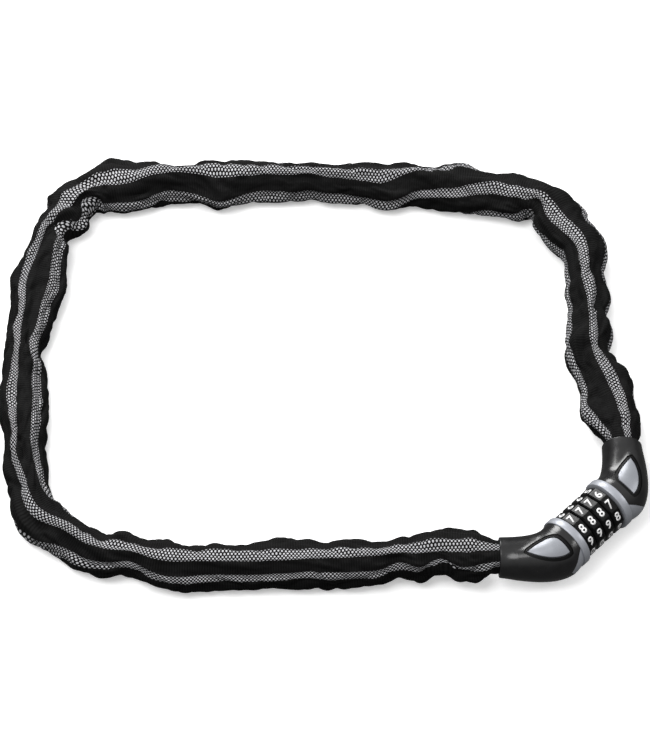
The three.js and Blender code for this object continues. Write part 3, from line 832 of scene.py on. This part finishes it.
def make_bolt():
    profile = [
        (BOLT_TIP, 0.02), (BOLT_TIP, BOLT_R - 1.1), (BOLT_TIP + 0.15, BOLT_R - 0.8),
        (BOLT_TIP + 0.9, BOLT_R - 0.1), (BOLT_TIP + 1.2, BOLT_R),
        (SEAT_END - 0.3, BOLT_R), (SEAT_END, BOLT_R - 0.3), (SEAT_END, 0.02),
    ]
    bolt = lathe("locking_bolt_bar", profile, STEEL, 72)
    place_on_head(bolt, "plug", "steel", "locking_bolt")
    low, high = BOLT_R - 0.9, FIN_TOP_R
    size = (FIN_THICKNESS, FIN_WIDTH, high - low)
    places = [dial_x(index) - DIAL_PITCH / 2 for index in range(DIALS)]
    work = joined([bevelled_box(size, (x, 0, (low + high) / 2), 0.16) for x in places])
    turn = Matrix.Rotation(math.radians(INDEX_DEG), 3, "X")
    bmesh.ops.rotate(work, cent=(0, 0, 0), matrix=turn, verts=work.verts)
    fins = new_object("locking_bolt_fins", mesh_from(work, "locking_bolt_fins"))
    place_on_head(finished(fins, 35, STEEL), "plug", "steel")


def dress_cad_nodes():
    """Gives the CAD nodes that stay on show their metal, and softens their edges."""
    looks = {
        "barrel_tube": STEEL, "barrel_roll_pin": STEEL, "barrel_end_washer": STEEL,
        "spring_washer": SPRING, "detent_spring": SPRING, "lock_anchor_pin": STEEL,
        "bolt_roll_pin": STEEL, "plug_anchor_pin": STEEL,
    }
    looks.update({f"code_ring_{i}": BRASS for i in range(1, DIALS + 1)})
    for name, material in looks.items():
        node = frame["nodes"][name]
        set_material(node, material)
        weld = node.modifiers.new("weld", "WELD")
        weld.merge_threshold = 0.00001
        bevel = node.modifiers.new("bevel", "BEVEL")
        bevel.width = 0.0001
        bevel.segments = 2
        bevel.limit_method = "ANGLE"
        bevel.angle_limit = math.radians(35)


# ---- chain links

def link_roll(number):
    """The links lie at 45 degrees, turn and turn about, and twist back to flat at both ends of the chain."""
    ends = min(1.0, (number - 1) / 4, (LINKS - number) / 4)
    return (number - 1) * math.pi / 2 - ends * math.pi / 4


def link_points(pitch):
    """A welded long link along X in the XY plane, with a low weld bead on one side."""
    bend_r = (LINK_WIDTH - WIRE) / 2
    straight = pitch / 2 + REACH - bend_r
    around = 16
    centres, outwards, swell = [], [], []
    for side in (1, -1):
        for angle in np.linspace(-math.pi / 2, math.pi / 2, 13):
            way = np.array([math.cos(angle), math.sin(angle), 0.0]) * side
            centres.append(way * bend_r + np.array([side * straight, 0, 0]))
            outwards.append(way)
            swell.append(0.0)
        for share in np.linspace(0.1, 0.9, 13):
            x = side * straight * (1 - 2 * share)
            centres.append(np.array([x, side * bend_r, 0.0]))
            outwards.append(np.array([0.0, side, 0.0]))
            bead = math.exp(-(x / 1.3) ** 2) if side == 1 else 0.0
            swell.append(0.16 * bead)
    turns = spaced_angles(around)
    up = np.array([0.0, 0.0, -1.0])
    rings = []
    for centre, way, extra in zip(centres, outwards, swell):
        radius = WIRE / 2 + extra
        rings.append(centre + radius * (np.outer(np.cos(turns), way) + np.outer(np.sin(turns), up)))
    return np.concatenate(rings), grid_faces(len(rings), around, True)


def make_links():
    deeper = (ANCHOR_REACH - REACH) / 2
    pitch = float(np.linalg.norm(PIVOTS[2] - PIVOTS[1]))
    points, faces = link_points(pitch)
    for number in range(1, LINKS + 1):
        start, end = Vector(PIVOTS[number - 1]), Vector(PIVOTS[number])
        way = (end - start).normalized()
        side = Vector((0, 0, 1)).cross(way).normalized()
        axes = Matrix((way, side, way.cross(side))).transposed().to_4x4()
        middle = (start + end) / 2
        if number == 1:
            middle -= way * deeper
        if number == LINKS:
            middle += way * deeper
        link = add_mesh(f"link_{number:02d}_wire", points, faces, ZINC)
        roll = Matrix.Rotation(link_roll(number), 4, "X")
        link.data.transform(Matrix.Scale(MM, 4) @ Matrix.Translation(middle) @ axes @ roll)
        tie(link, body_of(number), "chain_steel", f"chain_link_{number:02d}")


# ---- sleeve

TUCK = 4.0  # how far the sleeve's end reaches into a socket
END_R = 7.4  # of the gathered end inside the socket
HALF_WIDTH = 10.8
HALF_HEIGHT = 8.7
FLATTENING = 0.32  # height lost for each millimetre that the sleeve spreads
LEAST_HEIGHT = 6.8
MOST_HEIGHT = 9.4
COARSE_STEP = 3.0
COARSE_AROUND = 26
REFINE = 3
SIM_SCALE = 0.02  # simulation units per millimetre, so that the solver works at the size it is tuned for
PROXY_R = 5.6
PROXY_RINGS = 260
SETTLE_FRAMES = 34
FIT_RINGS = 5
WRINKLE_CREST = 0.7  # how far the wrinkles stand over the top of the sleeve
LOWEST = 0.25  # of the cloth over the ground
CHAIN_HALF_WIDTH = 6.3  # of the crossed links, with room for the cloth
CHAIN_CORNER = 1.5  # how much further they reach at 45 degrees
CHAIN_END_R = 7.7  # around the links that twist back to flat near the ends
TWISTING_LENGTH = 130.0  # of the chain at each end over which they do
SOCKET_CLEAR_R = 7.2

# The folds that show at the sleeve's two edges, as (distance along the sleeve from its end in the lock, how
# far the fold stands out, or in where it is negative, half its length). They go once round the loop.
INNER_FOLDS = [
    (25, 4, 15), (75, 1.5, 8), (100, 4, 12), (130, 2, 25), (160, 3, 9), (178, 3, 6), (208, -4, 7),
    (235, -5, 10), (285, 2, 15), (317, -3, 8), (355, 4.5, 14), (391, -6, 6), (410, -7, 6),
    (440, 2.5, 11), (485, 6, 12), (530, -2, 7), (570, 4, 9), (610, 3, 18), (648, -5, 6),
    (688, -3, 12), (740, 2, 14), (777, 5, 12),
]
OUTER_FOLDS = [
    (32, -5, 7), (50, -4, 7), (110, -1, 30), (148, 1, 8), (173, -4, 9), (222, 2.5, 18),
    (264, -2.5, 10), (356, 1.5, 8), (380, -3, 9), (407, 6, 10), (432, 9, 10),
    (464, -6, 8), (500, 1.5, 20), (558, 3, 18), (605, 3, 10), (632, 5, 10), (658, 7, 13), (678, 4, 12),
    (720, -2.5, 5), (741, -2, 6), (763, 3, 8), (803, -2, 6),
]
# Deep creases, as (distance along the sleeve, half length, angle round the tube in degrees, half angle,
# depth).
CREASES = [
    (32, 15, 15, 15, 4.4), (173, 14, 20, 14, 3.0), (208, 12, 150, 18, 4.0), (280, 44, 82, 12, 4.2),
    (326, 22, 112, 13, 3.6), (391, 11, 130, 20, 4.0), (420, 9, 88, 13, 3.6), (442, 9, 140, 15, 3.4),
    (464, 8, 40, 17, 3.4), (556, 34, 120, 12, 2.2), (645, 7, 150, 22, 4.4), (668, 16, 120, 12, 3.4),
    (688, 9, 160, 18, 3.4), (720, 7, 70, 15, 3.0), (741, 6, 45, 22, 4.0), (750, 14, 120, 12, 3.2),
    (786, 14, 95, 11, 2.6),
    (60, 4, 60, 50, 1.6), (300, 4, 120, 45, 2.0), (318, 4, 110, 50, 2.4), (388, 4, 105, 50, 2.4),
    (404, 3, 90, 45, 2.2), (428, 3, 110, 50, 2.4), (640, 3, 130, 45, 2.0), (698, 4, 120, 55, 2.4),
    (716, 4, 130, 50, 2.2), (730, 4, 110, 45, 2.0), (744, 4, 90, 60, 3.0), (771, 4, 120, 45, 2.0),
    (792, 4, 105, 55, 2.6),
]
# How the stripes lie, as (distance along the sleeve, twist in shares of a turn, angle in degrees of a
# lengthwise fold that brings two stripes together, share of a turn that it takes up at each side).
STRIPE_LAY = [
    (0, -0.178, 64, 0.04), (185, -0.178, 64, 0.04), (235, -0.03, 82, 0.04), (375, -0.04, 82, 0.035),
    (425, -0.11, 82, 0.0), (565, -0.15, 82, 0.0), (625, 0.1, 82, 0.0), (755, 0.15, 100, 0.0),
    (808, 0.2, 100, 0.025),
]


def between(t, t_low, low, t_high, high):
    return (t_high - t) / (t_high - t_low) * low + (t - t_low) / (t_high - t_low) * high


def catmull_rom(points, per_span):
    """Centripetal Catmull-Rom curve through points."""
    ghost_start = 2 * points[0] - points[1]
    ghost_end = 2 * points[-1] - points[-2]
    p = np.vstack([ghost_start, points, ghost_end])
    knots = np.concatenate([[0], np.cumsum(np.sqrt(np.linalg.norm(np.diff(p, axis=0), axis=1)))])
    out = []
    for i in range(1, len(p) - 2):
        t0, t1, t2, t3 = knots[i - 1:i + 3]
        t = np.linspace(t1, t2, per_span, endpoint=False)[:, None]
        a1 = between(t, t0, p[i - 1], t1, p[i])
        a2 = between(t, t1, p[i], t2, p[i + 1])
        a3 = between(t, t2, p[i + 1], t3, p[i + 2])
        out.append(between(t, t1, between(t, t0, a1, t2, a2), t2, between(t, t1, a2, t3, a3)))
    return np.vstack([*out, points[-1:]])


def sleeve_path():
    """Middle line of the sleeve from inside the lock's socket to inside the plug's."""
    lock_way = np.array(HEAD.to_3x3() @ Vector((-SIN45, SIN45, 0))) / MM
    plug_way = np.array(HEAD.to_3x3() @ Vector((SIN45, SIN45, 0))) / MM
    first, last = PIVOTS[0], PIVOTS[-1]
    depth = PIN_TO_MOUTH - TUCK
    middles = (PIVOTS[1:-2] + PIVOTS[2:-1]) / 2
    along_chain = np.stack([PIVOTS[1:-2], middles], axis=1).reshape(-1, 3)
    points = np.vstack([
        first + lock_way * depth, first + lock_way * (PIN_TO_MOUTH + 3),
        along_chain, PIVOTS[-2],
        last + plug_way * (PIN_TO_MOUTH + 3), last + plug_way * depth,
    ])
    return catmull_rom(points, 12)


def resample(points, count):
    length = np.concatenate([[0], np.cumsum(np.linalg.norm(np.diff(points, axis=0), axis=1))])
    wanted = np.linspace(0, length[-1], count)
    return np.column_stack([np.interp(wanted, length, points[:, k]) for k in range(3)]), wanted


def swellings(s, folds):
    """How far an edge stands out at distances s, from rounded folds."""
    total = np.zeros_like(s)
    for place, reach, half_length in folds:
        total += reach * np.exp(-(((s - place) / half_length) ** 2))
    return total


def section_offsets(angles, outer, inner, height):
    """A slightly boxy oval whose two sides reach differently far; angle 0 is the outer side of the loop."""
    cos, sin = np.cos(angles), np.sin(angles)
    reach = np.where(cos > 0, outer, inner)
    return reach * np.sign(cos) * np.abs(cos) ** 0.9, height * np.sign(sin) * np.abs(sin) ** 0.85


def from_nearer_end(s):
    return np.minimum(s, s[-1] - s)


def half_axes(s):
    """How far the sleeve reaches to its outer side, to its inner side and upwards."""
    open_up = smoothstep(from_nearer_end(s), TUCK + 0.5, TUCK + 13)
    outer = HALF_WIDTH + swellings(s, OUTER_FOLDS)
    inner = HALF_WIDTH + swellings(s, INNER_FOLDS)
    spread = (outer + inner) / 2 - HALF_WIDTH
    height = np.clip(HALF_HEIGHT - FLATTENING * spread, LEAST_HEIGHT, MOST_HEIGHT)
    return [END_R + (axis - END_R) * open_up for axis in (outer, inner, height)]


def section_axes(centres):
    """Directions across the path: level towards the outer side, and upwards."""
    tangents = unit(np.gradient(centres, axis=0))
    sides = unit(np.cross([0.0, 0.0, 1.0], tangents))
    return sides, np.cross(tangents, sides)


def smoothed(values, half_length):
    """Values at every ring, averaged over a short length so that small wrinkles don't count."""
    steps = np.arange(-2 * half_length, 2 * half_length + 1)
    weights = np.exp(-((steps / half_length) ** 2))
    return np.convolve(np.pad(values, 2 * half_length, mode="edge"), weights / weights.sum(), mode="valid")


def fit_section(rings, s):
    """Lifts the settled sleeve back round the chain, and its edges and top to where its folds were laid."""
    centres, _ = resample(sleeve_path(), len(rings))
    sides, ups = section_axes(centres)
    outer, inner, height = half_axes(s)
    sag = smoothed(np.einsum("ijk,ik->ij", rings - centres[:, None, :], ups).mean(axis=1), FIT_RINGS)
    rings = rings - (sag[:, None] * ups)[:, None, :]
    for axes, high, low in ((sides, outer, inner), (ups, height + WRINKLE_CREST, None)):
        reach = np.einsum("ijk,ik->ij", rings - centres[:, None, :], axes)
        above = high / smoothed(reach.max(axis=1), FIT_RINGS)
        below = np.ones_like(s) if low is None else low / smoothed(-reach.min(axis=1), FIT_RINGS)
        change = reach * (np.where(reach > 0, above[:, None], below[:, None]) - 1)
        rings = rings + change[:, :, None] * axes[:, None, :]
    return rings


def sleeve_rings():
    """Rings of the sleeve as it is slipped over the chain, before it settles."""
    path = sleeve_path()
    total = np.linalg.norm(np.diff(path, axis=0), axis=1).sum()
    count = int(round(total / COARSE_STEP)) + 1
    centres, s = resample(path, count)
    sides, ups = section_axes(centres)
    outer, inner, height = half_axes(s)
    angles = spaced_angles(COARSE_AROUND, 0.5)
    rings = []
    for i in range(count):
        across, above = section_offsets(angles, outer[i], inner[i], height[i])
        rings.append(centres[i] + np.outer(across, sides[i]) + np.outer(above, ups[i]))
    return np.array(rings), s


def wrinkle_height(s, angle):
    """Outward height of the wrinkles: soft lengthwise folds, then rounded puckers with sharp valleys."""
    x, y = math.cos(angle), math.sin(angle)
    folds = noise.noise(Vector((s / 34, 1.5 * x, 1.5 * y + SEED)))
    puckers = abs(noise.noise(Vector((s / 15 + 40, 1.9 * x + 0.04 * s, 1.9 * y)))) - 0.18
    small = abs(noise.noise(Vector((s / 6.0, 4.2 * x, 4.2 * y + 90)))) - 0.18
    return 1.8 * folds + 3.2 * puckers + 0.9 * small


def wrinkle_sleeve(rings, s):
    """Adds wrinkles and creases along the tube's normals, fading out inside the sockets."""
    normals = vertex_normals(rings)
    around = rings.shape[1]
    angles = (np.arange(around) / REFINE + 0.5) / COARSE_AROUND * 2 * math.pi
    heights = np.array([[wrinkle_height(place, angle) for angle in angles] for place in s])
    for place, half_length, degrees, half_angle, depth in CREASES:
        from_angle = (np.degrees(angles) - degrees + 180) % 360 - 180
        wander = 8 * np.sin(s / 11 + place)
        across = np.exp(-np.abs((from_angle[None, :] - wander[:, None]) / half_angle) ** 1.5)
        along = np.exp(-(((s - place) / half_length) ** 2))
        heights -= depth * along[:, None] * across
    fade = smoothstep(from_nearer_end(s), TUCK, TUCK + 8)
    return rings + normals * (heights * fade[:, None])[:, :, None]


def flat_tube_rings(count):
    """The same cloth at rest: a straight round tube of its true length and girth."""
    radius = SLEEVE_AROUND / (2 * math.pi)
    angles = spaced_angles(COARSE_AROUND, 0.5)
    rings = []
    for i in range(count):
        x = np.full(COARSE_AROUND, i * COARSE_STEP)
        rings.append(np.column_stack([x, radius * np.cos(angles), radius * np.sin(angles)]))
    return np.array(rings)


def chain_proxy():
    """A smooth stick figure of the chain for the cloth to rest on."""
    rings = []
    path, _ = resample(catmull_rom(PIVOTS, 12), PROXY_RINGS)
    sides, ups = section_axes(path)
    angles = spaced_angles(12, 0.5)
    for centre, side, up in zip(path, sides, ups):
        rings.append(centre + PROXY_R * (np.outer(np.cos(angles), side) + np.outer(np.sin(angles), up)))
    return capped_tube("chain_proxy", [ring * SIM_SCALE for ring in rings])


def simulate_sleeve(rings):
    """Lets the sleeve settle over the chain and the ground, and returns its rings."""
    count = len(rings)
    start = rings.reshape(-1, 3) * SIM_SCALE
    cloth_obj = add_mesh("cloth", start, grid_faces(count, COARSE_AROUND))
    cloth_obj.shape_key_add(name="Basis")
    rest = cloth_obj.shape_key_add(name="rest")
    rest.data.foreach_set("co", (flat_tube_rings(count).reshape(-1, 3) * SIM_SCALE).ravel())
    pinned = cloth_obj.vertex_groups.new(name="pinned")
    ends = list(range(2 * COARSE_AROUND)) + list(range((count - 2) * COARSE_AROUND, count * COARSE_AROUND))
    pinned.add(ends, 1.0, "REPLACE")
    proxy = chain_proxy()
    ground_points = np.array([[-300, -300, 0], [300, -300, 0], [300, 300, 0], [-300, 300, 0]]) * SIM_SCALE
    ground = add_mesh("ground_proxy", ground_points, [(0, 1, 2, 3)])
    for obstacle in (proxy, ground):
        obstacle.modifiers.new("collision", "COLLISION")
        obstacle.collision.thickness_outer = 0.01
        obstacle.collision.thickness_inner = 0.1
        obstacle.collision.cloth_friction = 12
    cloth = cloth_obj.modifiers.new("cloth", "CLOTH")
    settings = {
        "quality": 7, "mass": 0.25, "air_damping": 3.0, "tension_stiffness": 60, "compression_stiffness": 60,
        "shear_stiffness": 12, "bending_model": "ANGULAR", "bending_stiffness": 4.0, "bending_damping": 2.0,
        "tension_damping": 15, "compression_damping": 15, "shear_damping": 10,
        "vertex_group_mass": "pinned", "rest_shape_key": rest,
        "use_pressure": True, "uniform_pressure_force": 0.6,
    }
    for name, value in settings.items():
        setattr(cloth.settings, name, value)
    cloth.collision_settings.collision_quality = 3
    cloth.collision_settings.distance_min = 0.012
    cloth.collision_settings.use_self_collision = False
    scene = bpy.context.scene
    for number in range(1, SETTLE_FRAMES + 1):
        scene.frame_set(number)
    settled = np.empty(start.size)
    evaluated(cloth_obj).data.vertices.foreach_get("co", settled)
    scene.frame_set(1)
    for obj in (cloth_obj, proxy, ground):
        bpy.data.objects.remove(obj)
    return settled.reshape(rings.shape) / SIM_SCALE


def cubic_refine(rings, times, wrap):
    """Refines a grid of points along its first axis by Catmull-Rom interpolation."""
    count = len(rings)
    spans = count if wrap else count - 1
    out = []
    for step in range(times):
        t = step / times
        if wrap:
            p0, p1 = np.roll(rings, 1, axis=0), rings
            p2, p3 = np.roll(rings, -1, axis=0), np.roll(rings, -2, axis=0)
        else:
            padded = np.concatenate([2 * rings[:1] - rings[1:2], rings, 2 * rings[-1:] - rings[-2:-1]])
            p0, p1, p2, p3 = padded[:-3], padded[1:-2], padded[2:-1], padded[3:]
        out.append(0.5 * (2 * p1 + (p2 - p0) * t + (2 * p0 - 5 * p1 + 4 * p2 - p3) * t * t
                          + (3 * p1 - p0 - 3 * p2 + p3) * t**3))
    fine = np.stack([part[:spans] for part in out], axis=1).reshape(spans * times, *rings.shape[1:])
    if not wrap:
        fine = np.concatenate([fine, rings[-1:]])
    return fine


def nearest_on_chain(points):
    """The nearest point of the chain's middle line for each of the points."""
    flat = points.reshape(-1, 3)
    best = np.full(len(flat), np.inf)
    nearest = np.empty_like(flat)
    for start, end in zip(PIVOTS[:-1], PIVOTS[1:]):
        way = end - start
        share = np.clip((flat - start) @ way / (way @ way), 0.0, 1.0)
        foot = start + share[:, None] * way
        distance = np.linalg.norm(flat - foot, axis=1)
        closer = distance < best
        best[closer] = distance[closer]
        nearest[closer] = foot[closer]
    return nearest.reshape(points.shape)


def keep_clear_of_chain(rings, s):
    """Pushes cloth that came too near the chain back outwards."""
    nearest = nearest_on_chain(rings)
    away = rings - nearest
    angles = np.arctan2(np.abs(away[:, :, 2]), np.linalg.norm(away[:, :, :2], axis=2))
    crossed = CHAIN_HALF_WIDTH + CHAIN_CORNER * np.sin(2 * angles)
    from_end = from_nearer_end(s)[:, None]
    untwisted = smoothstep(from_end, TWISTING_LENGTH / 2, TWISTING_LENGTH)
    least = CHAIN_END_R + (crossed - CHAIN_END_R) * untwisted
    least = SOCKET_CLEAR_R + (least - SOCKET_CLEAR_R) * smoothstep(from_end, TUCK, TUCK + 10)
    distance = np.maximum(np.linalg.norm(away, axis=2), 0.1)
    return nearest + away * np.maximum(1.0, least / distance)[:, :, None]


def make_sleeve():
    rings, path_s = sleeve_rings()
    rings = simulate_sleeve(rings)
    fine = cubic_refine(rings, REFINE, False)
    fine = np.transpose(cubic_refine(np.transpose(fine, (1, 0, 2)), REFINE, True), (1, 0, 2))
    fine_s = np.interp(np.arange(len(fine)) / REFINE, np.arange(len(rings)), path_s)
    fine = keep_clear_of_chain(fit_section(wrinkle_sleeve(fine, fine_s), fine_s), fine_s)
    fine[:, :, 2] = np.maximum(fine[:, :, 2], LOWEST)
    split_sleeve(fine, fine_s)


def stripe_shares(s, around):
    """The share of the way round the cloth at every point, which the stripes follow."""
    places, twists, folds, squeezes = zip(*STRIPE_LAY)
    share = (np.arange(around + 1) / REFINE + 0.5) / COARSE_AROUND
    twist, fold, squeeze = (np.interp(s, places, values)[:, None] for values in (twists, folds, squeezes))
    return share + twist + squeeze * np.sin(2 * (2 * math.pi * share - np.radians(fold)))


def vertex_normals(rings):
    """Smooth normals of the whole tube, so that the seams between its pieces don't show."""
    around = np.roll(rings, -1, axis=1) - np.roll(rings, 1, axis=1)
    along = np.gradient(rings, axis=0)
    normals = np.cross(around, along)
    return normals / np.maximum(np.linalg.norm(normals, axis=2)[:, :, None], 1e-9)


def sleeve_spans():
    """Where the sleeve is cut: (start, end, body at the start, body at the end, CAD nodes that it replaces).

    A cut lies half way between two hinges that move, or at the opened pivot.
    """
    first = (PIVOTS[0] + PIVOTS[1]) / 2
    spans = [(None, first, "lock_body", "link_01", []), (first, PIVOTS[2], "link_01", body_of(2), [])]
    for link in range(2, LINKS - 1, 2):
        node = [f"sleeve_{link // 2:02d}"]
        here, after = body_of(link), body_of(link + 2)
        if link < OPENED_PIVOT < link + 2:
            opened = PIVOTS[OPENED_PIVOT]
            spans.append((PIVOTS[link], opened, here, here, node))
            spans.append((opened, PIVOTS[link + 2], after, after, []))
        else:
            spans.append((PIVOTS[link], PIVOTS[link + 2], here, after, node))
    spans.append((PIVOTS[LINKS - 1], None, body_of(LINKS), "plug", [f"sleeve_{LINKS // 2:02d}"]))
    return spans


def split_sleeve(rings, s):
    """Cuts the tube between the moving hinges into pieces. A piece that lies within one body is tied to it,
    and the others keep their place.
    """
    normals = vertex_normals(rings)
    count, around = rings.shape[:2]
    centres = rings.mean(axis=1)

    def ring_near(point, fallback):
        return fallback if point is None else int(np.argmin(np.linalg.norm(centres - point, axis=1)))

    step_m = COARSE_STEP / REFINE * MM
    shares = stripe_shares(s, around)
    for number, (start, end, before, after, nodes) in enumerate(sleeve_spans(), start=1):
        first, last = ring_near(start, 0), ring_near(end, count - 1)
        part = rings[first:last + 1]
        piece = add_mesh(
            f"sleeve_piece_{number:02d}", part.reshape(-1, 3) * MM, grid_faces(len(part), around), SLEEVE,
        )
        coordinates = []
        for i in range(first, last):
            u0, u1 = i * step_m, (i + 1) * step_m
            for j in range(around):
                coordinates.extend((u0, shares[i, j], u0, shares[i, j + 1]))
                coordinates.extend((u1, shares[i + 1, j + 1], u1, shares[i + 1, j]))
        piece.data.uv_layers.new(name="sleeve").data.foreach_set("uv", coordinates)
        piece.data.normals_split_custom_set_from_vertices(normals[first:last + 1].reshape(-1, 3))
        if before == after:
            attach(piece, before)
        else:
            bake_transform(piece)
        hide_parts(*nodes)


# ---- stage

CAMERA_ELEVATION = 56.0
CAMERA_DISTANCE = 1219.0
FOCAL_LENGTH = 121.9
LOOP_CENTRE = Vector((-120.9, 84.8, -3.9))  # from the barrel's middle to the middle of the picture


def make_stage():
    s = new_shader("studio_floor")
    white = s.blend(s.noise(s.position(), 3.0, 2.0), grey(0.9), grey(0.93))
    floor_white = s.finish(Base_Color=white, Roughness=0.9, Emission_Color=white, Emission_Strength=0.35)
    corners = np.array([(-6, -6, 0), (6, -6, 0), (6, 6, 0), (-6, 6, 0)])
    floor = add_mesh("floor", corners, [(0, 1, 2, 3)])
    floor.data.transform(Matrix.Translation((0, 0, -0.0003)))
    floor.visible_diffuse = False
    floor.visible_glossy = False
    set_material(floor, floor_white)
    make_sky()
    add_area_light("key", (-0.45, -0.15, 1.1), 0.7, 9.0)
    add_area_light("back", (-0.3, 0.95, 0.55), 0.55, 13.0)
    add_area_light("side", (1.0, 0.1, 0.55), 0.3, 2.5)


def make_sky():
    """Soft light, bright overhead and dark at the horizon, so that the black plastic keeps its contrast."""
    s = Shader(bpy.data.worlds.new("studio"), "Background")
    way = s.node("ShaderNodeTexCoord").outputs["Generated"]
    up = s.node("ShaderNodeSeparateXYZ", {0: way}).outputs["Z"]
    bpy.context.scene.world = s.finish(Color=grey(1.0), Strength=s.fit(up, 0.1, 0.95, 0.12, 0.9))


def aim(holder, place, way):
    holder.location = place
    holder.rotation_euler = way.to_track_quat("-Z", "Y").to_euler()


def add_area_light(name, place, size, power):
    light = bpy.data.lights.new(name, "AREA")
    light.size = size
    light.energy = power
    holder = new_object(name, light)
    aim(holder, place, -Vector(place))


def make_camera():
    camera = bpy.data.cameras.new("camera")
    camera.lens = FOCAL_LENGTH
    camera.clip_end = 20
    holder = new_object("camera", camera)
    target = Vector(barrel["pos_m"]) + LOOP_CENTRE * MM
    elevation = math.radians(CAMERA_ELEVATION)
    back = Vector((0, -math.cos(elevation), math.sin(elevation)))
    aim(holder, target + back * CAMERA_DISTANCE * MM, -back)
    bpy.context.scene.camera = holder
    bpy.context.scene.view_settings.view_transform = "Standard"


make_elbows()
make_dials()
make_bolt()
dress_cad_nodes()
make_links()
make_sleeve()
make_stage()
make_camera()
